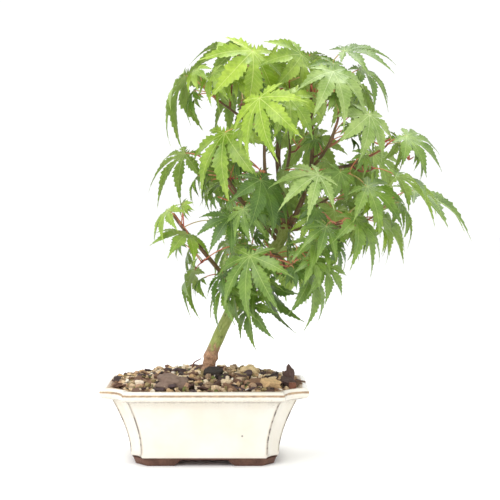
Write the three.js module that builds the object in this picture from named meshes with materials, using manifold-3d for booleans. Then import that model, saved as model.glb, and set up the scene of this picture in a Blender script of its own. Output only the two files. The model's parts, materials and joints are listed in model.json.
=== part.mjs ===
// A Japanese maple grown as a small bonsai, in a cream glazed pot with stepped-in corners.
// Millimetres, +Z up. While it is built, x = y = 0 is the middle of the pot and z = 0 the ground.
import * as THREE from 'three';
import { mergeVertices } from 'three/addons/utils/BufferGeometryUtils.js';
import Module from 'manifold-3d';

const wasm = await Module();
wasm.setup();

// Driving sizes of the pot
const RIM_WIDTH = 200;
const RIM_DEPTH = 150;
const POT_HEIGHT = 74;
const LIP_TOP = 71;
const LIP_UNDERSIDE = 64;
const LIP_OVERHANG = 10;
const OPENING_INSET = 9;
const BODY_FOOT = { width: 143, depth: 104 };
const BODY_TOP = { width: 179, depth: 128 };
const BODY_FLARE = 1.5;
const INNER_FOOT = { width: 125, depth: 86 };
const INNER_FLARE = 1.3;
const INNER_BOW = 2;
const INNER_BENDS = [62, 40];
const CLAY_TOP = 7.9;
const FOOT_HEIGHT = 6.1;
const FOOT_STEP = { x: 15, y: 20 };
const FLOOR_TOP = 13;
const DRAIN = { radius: 7.5, apart: 58 };

// Driving sizes of the soil and the tree
const CLEARANCE = 0.3;
const SOIL_EDGE = 70;
const SOIL_RISE = 12.7;
const SOIL_BUMPS = 1.3;
const PAD_RADIUS = 10;
const LEAF_THICKNESS = 1.2;
const PETIOLE_RADIUS = 0.75;
const STEM_RADIUS = 1.25;
const PETIOLE_LENGTH = 33;
const BLADE_BEND = 0.8;
const STEM_SHARE = 0.6;

// How the crown is filled: the size of the cells that keep leaves apart, and the tries for each leaf
const CELL = 2.8;
const SAMPLE_STEP = 1.9;
const TRIES = 160;
const ROOM = 90;
const ROOTED = 9;
const GUARD = 2;
const PUSHES = [0, 4, -4, 8, -8, 12, -12, 16, -16, 20, -20, 24, -24, 28, 32, 36, 40, 44, 48];
const BOWS = [0, 0.1, -0.1, 0.2, -0.2, 0.3];

const DEGREE = Math.PI / 180;
const UP = new THREE.Vector3(0, 0, 1);

function point(x, y, z) {
  return new THREE.Vector3(x, y, z);
}

function mix(a, b, share) {
  return a + (b - a) * share;
}

// A seeded run of numbers from 0 to 1
function seeded(seed) {
  let state = seed;
  return () => {
    state = (1664525 * state + 1013904223) % 4294967296;
    return state / 4294967296;
  };
}

// Solids

function solid(positions, index) {
  const mesh = new wasm.Mesh({
    numProp: 3,
    vertProperties: new Float32Array(positions),
    triVerts: new Uint32Array(index),
  });
  return new wasm.Manifold(mesh);
}

function geometryOf(body) {
  const mesh = body.getMesh();
  const geometry = new THREE.BufferGeometry();
  geometry.setAttribute('position', new THREE.BufferAttribute(new Float32Array(mesh.vertProperties), 3));
  geometry.setIndex(new THREE.BufferAttribute(new Uint32Array(mesh.triVerts), 1));
  return mergeVertices(geometry, 1e-4);
}

// The triangles of a flat ring's end, found in plan
function flatEnd(ring) {
  const contour = ring.map((p) => new THREE.Vector2(p.x, p.y));
  return THREE.ShapeUtils.triangulateShape(contour, []);
}

// The triangles of a small round end, as a fan
function fanEnd(ring) {
  return ring.slice(2).map((_, i) => [0, i + 1, i + 2]);
}

// A closed skin through rings of points that each run counterclockwise round the way they follow
function loft(rings, end = fanEnd) {
  const count = rings[0].length;
  const positions = rings.flatMap((ring) => ring.flatMap((p) => [p.x, p.y, p.z]));
  const index = [];
  for (let r = 0; r + 1 < rings.length; r += 1) {
    for (let i = 0; i < count; i += 1) {
      const a = r * count + i;
      const b = r * count + ((i + 1) % count);
      index.push(a, b, b + count, a, b + count, a + count);
    }
  }
  const last = (rings.length - 1) * count;
  end(rings[0]).forEach(([a, b, c]) => index.push(a, c, b));
  end(rings[rings.length - 1]).forEach(([a, b, c]) => index.push(last + a, last + b, last + c));
  return solid(positions, index);
}

// Rings round a curve. Each ring's axes are carried on from the ring before, so the skin doesn't twist.
function ringsAlong(curve, radiusAt, sides, steps, flatFoot = false) {
  const rings = [];
  let axis = null;
  for (let k = 0; k <= steps; k += 1) {
    const t = k / steps;
    const centre = curve.getPoint(t);
    const way = curve.getTangent(t);
    const along = flatFoot && k === 0 ? UP : way;
    const hint = axis ?? (Math.abs(along.x) < 0.8 ? point(1, 0, 0) : point(0, 1, 0));
    axis = hint.clone().addScaledVector(along, -hint.dot(along)).normalize();
    const across = along.clone().cross(axis);
    const ring = [];
    for (let i = 0; i < sides; i += 1) {
      const turn = (2 * Math.PI * i) / sides;
      const radius = radiusAt(t, turn);
      const p = centre.clone();
      p.addScaledVector(axis, radius * Math.cos(turn));
      p.addScaledVector(across, radius * Math.sin(turn));
      ring.push(p);
    }
    rings.push(ring);
  }
  return rings;
}

// Pot

// A rectangle whose corners step in. hollow 0 cuts a corner straight, and 1 scoops it.
function steppedRing({ width, depth, stepX, stepY, hollow, bow = 0, z }) {
  const corner = [];
  const soften = 3;
  corner.push([width / 2 - stepX - soften, -depth / 2]);
  for (const angle of [10, 28, 45, 62, 80]) {
    const share = angle / 90;
    const straightX = mix(width / 2 - stepX, width / 2, share);
    const straightY = mix(-depth / 2, -depth / 2 + stepY, share);
    const scoopX = width / 2 - stepX * Math.cos(angle * DEGREE);
    const scoopY = -depth / 2 + stepY * Math.sin(angle * DEGREE);
    corner.push([mix(straightX, scoopX, hollow), mix(straightY, scoopY, hollow)]);
  }
  corner.push([width / 2, -depth / 2 + stepY + soften]);
  const mirrored = (signX, signY) => corner.map(([x, y]) => point(x * signX, y * signY, z));
  return [
    point(0, -depth / 2 - bow, z),
    ...mirrored(1, 1),
    point(width / 2 + bow, 0, z),
    ...mirrored(1, -1).reverse(),
    point(0, depth / 2 + bow, z),
    ...mirrored(-1, -1),
    point(-width / 2 - bow, 0, z),
    ...mirrored(-1, 1).reverse(),
  ];
}

function bodyRing(z) {
  const share = (z - FLOOR_TOP) / (LIP_UNDERSIDE - FLOOR_TOP);
  const flare = share ** BODY_FLARE;
  return steppedRing({
    z,
    width: mix(BODY_FOOT.width, BODY_TOP.width, flare),
    depth: mix(BODY_FOOT.depth, BODY_TOP.depth, flare),
    stepX: mix(11, 17, share),
    stepY: mix(17, 23, share),
    hollow: mix(0.6, 1, Math.min(1, share * 3)),
  });
}

function lipRing(z, inset, step) {
  const width = RIM_WIDTH - 2 * inset;
  const depth = RIM_DEPTH - 2 * inset;
  return steppedRing({ z, width, depth, stepX: step, stepY: step + 2, hollow: 1 });
}

// The inner wall at a height, or a ring that much inside it. Its corners are cut further than the outer
// ones step in, so that the wall stays as thick there.
function innerRing(z, inset = 0) {
  const share = (z - FLOOR_TOP) / (POT_HEIGHT - FLOOR_TOP);
  const flare = share ** INNER_FLARE;
  return steppedRing({
    z,
    width: mix(INNER_FOOT.width, RIM_WIDTH - 2 * OPENING_INSET, flare) - 2 * inset,
    depth: mix(INNER_FOOT.depth, RIM_DEPTH - 2 * OPENING_INSET - 2, flare) - 2 * inset,
    stepX: mix(15, 26, share),
    stepY: mix(19, 29, share),
    hollow: mix(0.4, 0, share),
    bow: INNER_BOW * share ** 3,
  });
}

// A foot is an L of bare clay under one corner, wider at the top than on the ground
function footSolid(signX, signY) {
  const ringAt = (z) => {
    const share = z / FOOT_HEIGHT;
    const outX = mix(65, 68.6, share);
    const outY = mix(46.5, 49.6, share);
    const endX = mix(29, 22, share);
    const endY = mix(20, 14, share);
    const wide = 24;
    const outline = [
      [endX, -outY],
      [outX - FOOT_STEP.x, -outY],
      [outX, -outY + FOOT_STEP.y],
      [outX, -endY],
      [outX - wide, -endY],
      [outX - wide, -outY + wide],
      [endX, -outY + wide],
    ];
    const ring = outline.map(([x, y]) => point(x * signX, y * signY, z));
    return signX * signY > 0 ? ring : ring.reverse();
  };
  return loft([ringAt(0), ringAt(FOOT_HEIGHT + 0.4)], flatEnd);
}

function drainSolid(side) {
  const drill = new THREE.CylinderGeometry(DRAIN.radius, DRAIN.radius, 3 * FLOOR_TOP, 16);
  drill.rotateX(Math.PI / 2);
  drill.translate((side * DRAIN.apart) / 2, 0, FLOOR_TOP);
  drill.deleteAttribute('normal');
  drill.deleteAttribute('uv');
  const merged = mergeVertices(drill);
  return solid(merged.attributes.position.array, merged.index.array);
}

function potSolid() {
  const foot = { stepX: FOOT_STEP.x, stepY: FOOT_STEP.y, hollow: 0.4 };
  const rings = [
    steppedRing({ z: FOOT_HEIGHT, width: BODY_FOOT.width - 4, depth: BODY_FOOT.depth - 3, ...foot }),
    steppedRing({ z: CLAY_TOP, width: BODY_FOOT.width - 2.6, depth: BODY_FOOT.depth - 1.8, ...foot }),
    steppedRing({ z: CLAY_TOP + 1, width: BODY_FOOT.width - 0.8, depth: BODY_FOOT.depth - 0.4, ...foot }),
    ...[14, 26, 40, 52, 60].map(bodyRing),
    lipRing(LIP_UNDERSIDE, LIP_OVERHANG - 2, 18),
    lipRing(LIP_UNDERSIDE + 1, 3.2, 21),
    lipRing(LIP_UNDERSIDE + 2.6, 0.6, 23),
    lipRing(LIP_TOP, 0, 24),
    lipRing(POT_HEIGHT - 0.8, 2.6, 23),
    lipRing(POT_HEIGHT, 4, 21),
    innerRing(POT_HEIGHT),
    innerRing(POT_HEIGHT - 2, 0.6),
    ...INNER_BENDS.map((z) => innerRing(z)),
    innerRing(FLOOR_TOP),
  ];
  let pot = loft(rings, flatEnd);
  for (const signX of [1, -1]) {
    for (const signY of [1, -1]) {
      pot = pot.add(footSolid(signX, signY));
    }
  }
  return pot.subtract(drainSolid(1)).subtract(drainSolid(-1));
}

// Soil: fills the pot and mounds up to a level pad under the trunk
const TRUNK_FOOT = point(1.8, 3, SOIL_EDGE + SOIL_RISE + CLEARANCE);

function soilSolid() {
  const bump = seeded(11);
  const gap = CLEARANCE + 0.5;
  const edge = innerRing(SOIL_EDGE, gap);
  const bends = INNER_BENDS.map((z) => innerRing(z, gap)).reverse();
  const rings = [innerRing(FLOOR_TOP + CLEARANCE, gap), ...bends, edge];
  const padTop = TRUNK_FOOT.z - CLEARANCE;
  for (const share of [0.06, 0.2, 0.38, 0.58, 0.78]) {
    const rise = SOIL_RISE * Math.sin(share * 90 * DEGREE) ** 0.8;
    rings.push(edge.map((p) => {
      const height = SOIL_EDGE + 1 + rise - 1 * share + (bump() - 0.5) * 2 * SOIL_BUMPS;
      const x = mix(p.x, TRUNK_FOOT.x, share);
      const y = mix(p.y, TRUNK_FOOT.y, share);
      return point(x, y, Math.min(height, padTop + 1));
    }));
  }
  rings.push(edge.map((p) => {
    const away = point(p.x - TRUNK_FOOT.x, p.y - TRUNK_FOOT.y, 0).normalize();
    return point(TRUNK_FOOT.x + away.x * PAD_RADIUS, TRUNK_FOOT.y + away.y * PAD_RADIUS, padTop);
  }));
  return loft(rings, flatEnd);
}

// Limbs: the way each one runs, its radius at the foot and the tip, and its number of sides and steps.
// from names the limb that it grows out of.
const LIMBS = {
  trunk: {
    way: [TRUNK_FOOT, point(4.6, 3, 98), point(10.7, 2, 114), point(24.8, 2, 143.7), point(38.6, 2, 166.4),
      point(52.4, 2, 185.6), point(65.8, 1, 202.5), point(74.5, 0, 216), point(79.5, 0, 229)],
    foot: 5.7, tip: 4.9, sides: 12, steps: 22,
    swells: [{ at: 0, wide: 0.035, high: 1.9 }, { at: 0.13, wide: 0.03, high: 1.3 },
      { at: 0.96, wide: 0.05, high: 1.3 }],
  },
  leader: {
    way: [point(79.8, 0, 229.6), point(75.9, 2, 246), point(74, 4, 263), point(71, 6, 292), point(72, 6, 322),
      point(69, 4, 348)],
    foot: 4.1, tip: 1.9, sides: 7, steps: 9, from: 'trunk',
  },
  second_leader: {
    way: [point(82, -1, 226), point(93.3, -4, 250), point(100.1, -5, 271), point(104, -4, 294),
      point(104, 0, 329), point(103, 2, 358)],
    foot: 2.9, tip: 1.5, sides: 6, steps: 8, from: 'trunk',
  },
  upper_right_bough: {
    way: [point(99.5, -5, 270), point(111, -10, 279.5), point(126, -14, 284), point(141, -18, 287),
      point(158, -22, 295)],
    foot: 2.3, tip: 1.5, sides: 6, steps: 5, from: 'second_leader',
  },
  lower_right_bough: {
    way: [point(79, -2, 224), point(98, -12, 226), point(113, -20, 226), point(128, -26, 227)],
    foot: 2.6, tip: 1.6, sides: 6, steps: 4, from: 'trunk',
  },
  cut_bough: {
    way: [point(33, 2, 158), point(21, -4, 174.7), point(-0.4, -8, 201), point(-17.8, -11, 221),
      point(-31.2, -14, 239.5)],
    foot: 2.5, tip: 1.9, sides: 6, steps: 5, from: 'trunk',
  },
  front_bough: {
    way: [point(76.5, 1, 242), point(66, -18, 258), point(58, -38, 280), point(57, -46, 316),
      point(55, -48, 341)],
    foot: 2.2, tip: 1.3, sides: 6, steps: 7, from: 'leader',
  },
  front_right_bough: {
    way: [point(102.5, -4.5, 284), point(110, -20, 292), point(118, -42, 306), point(124, -50, 322)],
    foot: 1.9, tip: 1.3, sides: 6, steps: 4, from: 'second_leader',
  },
  low_front_bough: {
    way: [point(62, 1, 197), point(66, -14, 200), point(72, -32, 199), point(76, -44, 192)],
    foot: 2, tip: 1.3, sides: 6, steps: 4, from: 'trunk',
  },
  low_right_bough: {
    way: [point(54, 2, 187), point(72, -4, 186), point(88, -8, 190), point(101, -10, 193)],
    foot: 2, tip: 1.3, sides: 6, steps: 4, from: 'trunk',
  },
  left_bough: {
    way: [point(71.5, 4, 290), point(55, -2, 315), point(34, -8, 334), point(16, -14, 347)],
    foot: 2, tip: 1.2, sides: 6, steps: 4, from: 'leader',
  },
  left_mid_bough: {
    way: [point(71, 0, 212), point(56, -8, 231), point(40, -15, 247), point(27, -20, 266),
      point(16, -22, 284)],
    foot: 2.2, tip: 1.3, sides: 6, steps: 5, from: 'trunk',
  },
  back_bough: {
    way: [point(73.8, 4, 264), point(80, 26, 282), point(84, 44, 306), point(82, 50, 334)],
    foot: 2, tip: 1.3, sides: 6, steps: 5, from: 'leader',
  },
  back_left_bough: {
    way: [point(74, 0, 216), point(62, 16, 230), point(44, 36, 242), point(28, 48, 258)],
    foot: 2.2, tip: 1.3, sides: 6, steps: 4, from: 'trunk',
  },
  back_right_bough: {
    way: [point(79.5, 1, 225), point(96, 20, 238), point(116, 38, 250), point(136, 48, 262)],
    foot: 2.2, tip: 1.3, sides: 6, steps: 5, from: 'trunk',
  },
  back_low_bough: {
    way: [point(48, 2, 179), point(52, 18, 186), point(58, 38, 190), point(64, 52, 188)],
    foot: 2, tip: 1.3, sides: 6, steps: 4, from: 'trunk',
  },
};

function limbCurve(limb) {
  return new THREE.CatmullRomCurve3(limb.way, false, 'catmullrom', 0.5);
}

function limbRadius(limb, t) {
  const swell = (limb.swells ?? []).map((s) => s.high * Math.exp(-(((t - s.at) / s.wide) ** 2)));
  return mix(limb.foot, limb.tip, t) + swell.reduce((sum, high) => sum + high, 0);
}

function limbSolid(name, extra = 0) {
  const limb = LIMBS[name];
  const rooted = name === 'trunk';
  const lobed = (t, turn) => (rooted ? 1.1 * Math.cos(3 * turn + 0.6) * Math.exp(-((t / 0.045) ** 2)) : 0);
  const radiusAt = (t, turn) => limbRadius(limb, t) + lobed(t, turn) + extra;
  return loft(ringsAlong(limbCurve(limb), radiusAt, limb.sides, limb.steps, rooted));
}

// Leaf: seven pointed lobes round a hub. Angles are from the middle lobe, lengths and widths are shares
// of the leaf's size, and full lobes have a point on their rib.
const LOBES = [
  { angle: -116, length: 0.42, width: 0.08, points: 1 },
  { angle: -74, length: 0.76, width: 0.12, points: 3 },
  { angle: -36, length: 0.95, width: 0.14, points: 3, full: true },
  { angle: 0, length: 1, width: 0.15, points: 3, full: true },
  { angle: 36, length: 0.95, width: 0.14, points: 3, full: true },
  { angle: 74, length: 0.76, width: 0.12, points: 3 },
  { angle: 116, length: 0.42, width: 0.08, points: 1 },
];
const WIDEST = 0.48;
const NOTCH = 0.27;
const TREE_AXIS = point(88, 4, 250);

function heading(turn, rise) {
  const level = Math.cos(rise * DEGREE);
  return point(Math.cos(turn * DEGREE) * level, Math.sin(turn * DEGREE) * level, Math.sin(rise * DEGREE));
}

// A leaf's frame: a runs along the middle lobe, n out of the upper face and b to the side. The upper
// face looks out of the crown and up, and then turns by roll about the middle lobe.
function leafFrame(hub, turn, droop, roll = 0) {
  const a = heading(turn, -droop);
  const out = point(hub.x - TREE_AXIS.x, hub.y - TREE_AXIS.y, 0);
  const face = out.multiplyScalar(0.75 / Math.max(out.length(), 25)).add(point(0, 0, 0.8));
  const n = face.addScaledVector(a, -face.dot(a)).normalize();
  n.applyAxisAngle(a, -roll * DEGREE);
  const b = n.clone().cross(a);
  return { hub, a, b, n };
}

// A point of the blade, which bends down like an umbrella's ribs
function bladePoint(frame, size, angle, along, across, lift = 0) {
  const bend = BLADE_BEND / size;
  const flat = Math.sin(bend * along) / bend;
  const fall = (1 - Math.cos(bend * along)) / bend;
  const cos = Math.cos(angle * DEGREE);
  const sin = Math.sin(angle * DEGREE);
  const p = frame.hub.clone();
  p.addScaledVector(frame.a, flat * cos - across * sin);
  p.addScaledVector(frame.b, flat * sin + across * cos);
  return p.addScaledVector(frame.n, lift - fall);
}

// The share of a lobe's width at a share of its length
function lobeShape(share) {
  if (share < WIDEST) {
    return 0.6 + (0.4 * share) / WIDEST;
  }
  return ((1 - share) / (1 - WIDEST)) ** 0.85;
}

function leafSolid(frame, size) {
  const rim = [];
  const triangles = [];
  const ribs = [];
  const add = (...place) => rim.push(bladePoint(frame, size, ...place)) - 1;
  const heel = add(180, 0.03 * size, 0);
  let before = heel;
  LOBES.forEach((lobe, i) => {
    const length = lobe.length * size;
    const width = lobe.width * size;
    const next = LOBES[i + 1];
    const left = lobe.points > 1 ? add(lobe.angle, WIDEST * length, -width) : null;
    const tip = add(lobe.angle, length, 0);
    const right = lobe.points > 1 ? add(lobe.angle, WIDEST * length, width) : null;
    const notch = next ? Math.min(lobe.length, next.length) * NOTCH * size : 0;
    const after = next ? add((lobe.angle + next.angle) / 2, notch + 0.05 * size, 0) : heel;
    if (lobe.full) {
      ribs.push([lobe.angle, WIDEST * length]);
      const rib = -ribs.length;
      triangles.push(['hub', before, rib], ['hub', rib, after], [before, left, rib], [rib, right, after]);
      triangles.push([left, tip, rib], [rib, tip, right]);
    } else {
      const edge = [before, left, tip, right, after].filter((corner) => corner !== null);
      edge.slice(1).forEach((corner, k) => triangles.push(['hub', edge[k], corner]));
    }
    before = after;
  });
  const half = LEAF_THICKNESS / 2;
  const inner = (side) => [
    frame.hub.clone().addScaledVector(frame.n, side * half),
    ...ribs.map(([angle, along]) => bladePoint(frame, size, angle, along, 0, side * half)),
  ];
  const points = [...rim, ...inner(1), ...inner(-1)];
  const positions = points.flatMap((p) => [p.x, p.y, p.z]);
  const index = [];
  const upper = (corner) => (corner === 'hub' ? rim.length : corner < 0 ? rim.length - corner : corner);
  const lower = (corner) => (corner === 'hub' || corner < 0 ? upper(corner) + ribs.length + 1 : corner);
  triangles.forEach(([a, b, c]) => {
    index.push(upper(a), upper(b), upper(c));
    index.push(lower(a), lower(c), lower(b));
  });
  return solid(positions, index);
}

// Points spread over a blade, no further apart than the cells that keep leaves clear of each other
function leafSamples(frame, size, lift) {
  const samples = [];
  LOBES.forEach((lobe) => {
    const length = lobe.length * size;
    const steps = Math.ceil(length / SAMPLE_STEP);
    for (let k = 1; k <= steps; k += 1) {
      const along = (length * k) / steps;
      const wide = lobe.width * size * lobeShape(k / steps);
      const rows = Math.ceil(wide / SAMPLE_STEP);
      for (let j = -rows; j <= rows; j += 1) {
        samples.push(bladePoint(frame, size, lobe.angle, along, rows ? (wide * j) / rows : 0, lift));
      }
    }
  });
  return samples;
}

// Points along a stalk, and points round it past its root that show whether it would touch something
function stalkSamples(curve) {
  return curve.getPoints(Math.ceil(curve.getLength() / SAMPLE_STEP));
}

function stalkGuard(curve) {
  const length = curve.getLength();
  const steps = Math.ceil(length / SAMPLE_STEP);
  const rooted = Math.ceil((steps * ROOTED) / length);
  return ringsAlong(curve, () => GUARD, 4, steps).slice(rooted).flat();
}

// The room that is taken: the cells that hold something
const held = new Set();

function cellOf(p) {
  const [i, j, k] = [p.x, p.y, p.z].map((way) => Math.floor(way / CELL) + 200);
  return (i * 1000 + j) * 1000 + k;
}

function take(samples) {
  samples.forEach((p) => held.add(cellOf(p)));
}

function isFree(samples) {
  return samples.every((p) => !held.has(cellOf(p)));
}

// The crown's outline as it shows from the front: at each height, how far left and right the leaves reach
const OUTLINE = [
  { z: 100, left: 40, right: 60 },
  { z: 125, left: -20, right: 120 },
  { z: 150, left: -22, right: 150 },
  { z: 180, left: -28, right: 160 },
  { z: 205, left: -50, right: 205 },
  { z: 235, left: -60, right: 262 },
  { z: 262, left: -60, right: 240 },
  { z: 290, left: -58, right: 238 },
  { z: 320, left: -50, right: 215 },
  { z: 352, left: -46, right: 165 },
  { z: 385, left: -24, right: 192 },
  { z: 400, left: -10, right: 188 },
  { z: 416, left: 62, right: 125 },
];

// The open places of the crown, where the sky shows from the front
const SKY = [
  { x: 2, z: 322, wide: 16, high: 12 },
  { x: -8, z: 318, wide: 10, high: 14 },
  { x: 50, z: 296, wide: 8, high: 11 },
  { x: 65, z: 294, wide: 5, high: 9 },
  { x: 90, z: 296, wide: 8, high: 9 },
  { x: 120, z: 322, wide: 9, high: 9 },
  { x: 132, z: 300, wide: 11, high: 10 },
  { x: 2, z: 190, wide: 12, high: 12 },
  { x: -6, z: 232, wide: 8, high: 10 },
  { x: 74, z: 200, wide: 5, high: 6 },
  { x: 184, z: 270, wide: 16, high: 8 },
];

// The point from which the outline and the open places are given, and the plane that they lie in
const EYE = point(43.5, -1350, 267);

function showsInOutline(p) {
  const share = -EYE.y / (p.y - EYE.y);
  const x = EYE.x + (p.x - EYE.x) * share;
  const z = EYE.z + (p.z - EYE.z) * share;
  const top = OUTLINE[OUTLINE.length - 1];
  if (z < OUTLINE[0].z || z > top.z) {
    return false;
  }
  const k = OUTLINE.findIndex((row) => row.z >= z);
  const low = OUTLINE[Math.max(k - 1, 0)];
  const high = OUTLINE[k];
  const rise = high.z > low.z ? (z - low.z) / (high.z - low.z) : 0;
  if (x < mix(low.left, high.left, rise) || x > mix(low.right, high.right, rise)) {
    return false;
  }
  return SKY.every((gap) => ((x - gap.x) / gap.wide) ** 2 + ((z - gap.z) / gap.high) ** 2 > 1);
}

// Masses of foliage. Each is a shoot that leaves its limb at a share of the limb's way and ends in a
// leading leaf: the leaf's hub, the way it turns in plan, how far it droops, its size, and how many
// leaves the shoot bears in all.
const MASSES = [
  { name: 'top_front', on: 'leader', at: 1,
    hub: [45.8, -44, 393.6], turn: -81, droop: 52, roll: 56, size: 73, leaves: 4 },
  { name: 'top_left', on: 'left_bough', at: 1,
    hub: [-18.5, -30, 371.5], turn: 139, droop: 51, roll: -17, size: 74, leaves: 3 },
  { name: 'top', on: 'leader', at: 0.93,
    hub: [92.8, -25, 391.9], turn: -108, droop: 30, roll: 36, size: 53, leaves: 4 },
  { name: 'top_back_left', on: 'left_bough', at: 0.85,
    hub: [31.7, 6, 399.7], turn: -154, droop: -15, roll: 11, size: 58, leaves: 4 },
  { name: 'top_back_right', on: 'back_bough', at: 0.9,
    hub: [104, 36, 398], turn: 70, droop: 20, size: 56, leaves: 4 },
  { name: 'top_right', on: 'second_leader', at: 1,
    hub: [135.2, -5, 398.2], turn: 10, droop: -12, size: 58, leaves: 4 },
  { name: 'top_far_right', on: 'second_leader', at: 0.9,
    hub: [153.6, 10, 381.5], turn: -14, droop: 32, roll: -27, size: 50, leaves: 3 },
  { name: 'upper_front', on: 'front_bough', at: 1,
    hub: [52.3, -74, 347.8], turn: -92, droop: 50, roll: -21, size: 62, leaves: 4 },
  { name: 'upper_right', on: 'front_right_bough', at: 1,
    hub: [120.9, -60, 373.3], turn: -62, droop: 40, size: 56, leaves: 4 },
  { name: 'right_front', on: 'front_right_bough', at: 0.6,
    hub: [155.2, -60, 332.9], turn: -93, droop: 52, roll: -2, size: 49, leaves: 4 },
  { name: 'far_right', on: 'upper_right_bough', at: 1,
    hub: [191.5, -45, 313.9], turn: -11, droop: 23, roll: -19, size: 49, leaves: 4 },
  { name: 'right_end', on: 'lower_right_bough', at: 1,
    hub: [206.8, 22, 261.7], turn: 23, droop: 6, roll: -5, size: 79, leaves: 4 },
  { name: 'right', on: 'upper_right_bough', at: 0.75,
    hub: [185.1, -22, 276.3], turn: -21, droop: 14, roll: 24, size: 65, leaves: 4 },
  { name: 'right_middle', on: 'upper_right_bough', at: 0.5,
    hub: [153.3, -56, 266.2], turn: -22, droop: 27, roll: -17, size: 54, leaves: 4 },
  { name: 'right_low', on: 'lower_right_bough', at: 0.8,
    hub: [142.3, -66, 236.4], turn: -30, droop: 45, roll: 8, size: 55, leaves: 3 },
  { name: 'right_hanging', on: 'lower_right_bough', at: 0.55,
    hub: [171.2, -8, 234.5], turn: -42, droop: 19, roll: 12, size: 55, leaves: 3 },
  { name: 'centre_left', on: 'front_bough', at: 0.5,
    hub: [53.4, -70, 272.2], turn: -41, droop: 50, roll: 44, size: 56, leaves: 4 },
  { name: 'centre_right', on: 'second_leader', at: 0.45,
    hub: [107.3, -66, 276.9], turn: -141, droop: 19, roll: -1, size: 51, leaves: 4 },
  { name: 'left', on: 'front_bough', at: 0.8,
    hub: [20.1, -60, 316.1], turn: -110, droop: 55, roll: 12, size: 70, leaves: 4 },
  { name: 'far_left', on: 'left_mid_bough', at: 1,
    hub: [-19.2, -25, 297.8], turn: 158, droop: 34, roll: -31, size: 58, leaves: 4 },
  { name: 'left_middle', on: 'left_mid_bough', at: 0.8,
    hub: [22.6, -40, 272.4], turn: 172, droop: 18, roll: 8, size: 41, leaves: 3 },
  { name: 'left_low', on: 'left_mid_bough', at: 0.45,
    hub: [24.6, -50, 237.4], turn: -123, droop: 33, roll: 41, size: 42, leaves: 3 },
  { name: 'cut_bough_end', on: 'cut_bough', at: 0.86,
    hub: [-16.3, -34, 220.8], turn: -105, droop: 4, roll: 58, size: 45, leaves: 3 },
  { name: 'lowest_left', on: 'cut_bough', at: 0.45,
    hub: [-10.8, -18, 184.4], turn: -143, droop: 52, roll: -37, size: 51, leaves: 3 },
  { name: 'low_left', on: 'cut_bough', at: 0.3,
    hub: [20.5, -34, 173.9], turn: -149, droop: 52, size: 48, leaves: 3 },
  { name: 'low_front', on: 'low_front_bough', at: 0.7,
    hub: [43.5, -70, 201.6], turn: -118, droop: 58, size: 62, leaves: 4 },
  { name: 'lowest', on: 'trunk', at: 0.45,
    hub: [44.5, -24, 151.9], turn: -120, droop: 66, size: 46, leaves: 3 },
  { name: 'low_middle', on: 'low_right_bough', at: 0.4,
    hub: [62, -10, 170.2], turn: -28, droop: 84, roll: -12, size: 57, leaves: 3 },
  { name: 'centre_low', on: 'low_front_bough', at: 1,
    hub: [105.9, -60, 215.2], turn: -94, droop: 23, roll: 5, size: 39, leaves: 3 },
  { name: 'low_right', on: 'low_right_bough', at: 1,
    hub: [100.2, -38, 184.3], turn: -56, droop: 54, roll: 39, size: 56, leaves: 4 },
  { name: 'middle_right', on: 'second_leader', at: 0.6,
    hub: [148, 14, 338], turn: 4, droop: 42, size: 50, leaves: 4 },
  { name: 'back_top', on: 'back_bough', at: 1,
    hub: [64, 60, 388], turn: 100, droop: 40, size: 64, leaves: 4 },
  { name: 'back_top_right', on: 'second_leader', at: 0.8,
    hub: [140, 56, 370], turn: 50, droop: 40, size: 60, leaves: 4 },
  { name: 'back_top_left', on: 'left_bough', at: 0.6,
    hub: [34, 52, 368], turn: 130, droop: 45, size: 60, leaves: 4 },
  { name: 'back_right', on: 'back_right_bough', at: 1,
    hub: [170, 60, 300], turn: 35, droop: 45, size: 62, leaves: 4 },
  { name: 'back_middle', on: 'back_bough', at: 0.6,
    hub: [104, 74, 318], turn: 80, droop: 50, size: 62, leaves: 4 },
  { name: 'back_left', on: 'back_left_bough', at: 1,
    hub: [16, 62, 300], turn: 125, droop: 50, size: 60, leaves: 4 },
  { name: 'back_centre', on: 'back_left_bough', at: 0.7,
    hub: [58, 70, 256], turn: 95, droop: 55, size: 58, leaves: 3 },
  { name: 'back_right_low', on: 'back_right_bough', at: 0.7,
    hub: [130, 64, 240], turn: 65, droop: 55, size: 60, leaves: 4 },
  { name: 'back_low', on: 'back_low_bough', at: 1,
    hub: [76, 70, 202], turn: 85, droop: 60, size: 56, leaves: 4 },
  { name: 'back_left_low', on: 'back_low_bough', at: 0.6,
    hub: [24, 46, 212], turn: 140, droop: 58, size: 54, leaves: 4 },
];

// A stalk that rises a little on its way
function stalk(from, to, rise) {
  const middle = from.clone().add(to).multiplyScalar(0.5).add(point(0, 0, rise));
  return new THREE.QuadraticBezierCurve3(from, middle, to);
}

function blade(hub, turn, droop, size, roll) {
  const frame = leafFrame(hub, turn, droop, roll);
  const samples = leafSamples(frame, size, 0);
  const guard = [...leafSamples(frame, size, GUARD), ...leafSamples(frame, size, -GUARD)];
  return { frame, size, samples, guard };
}

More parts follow.
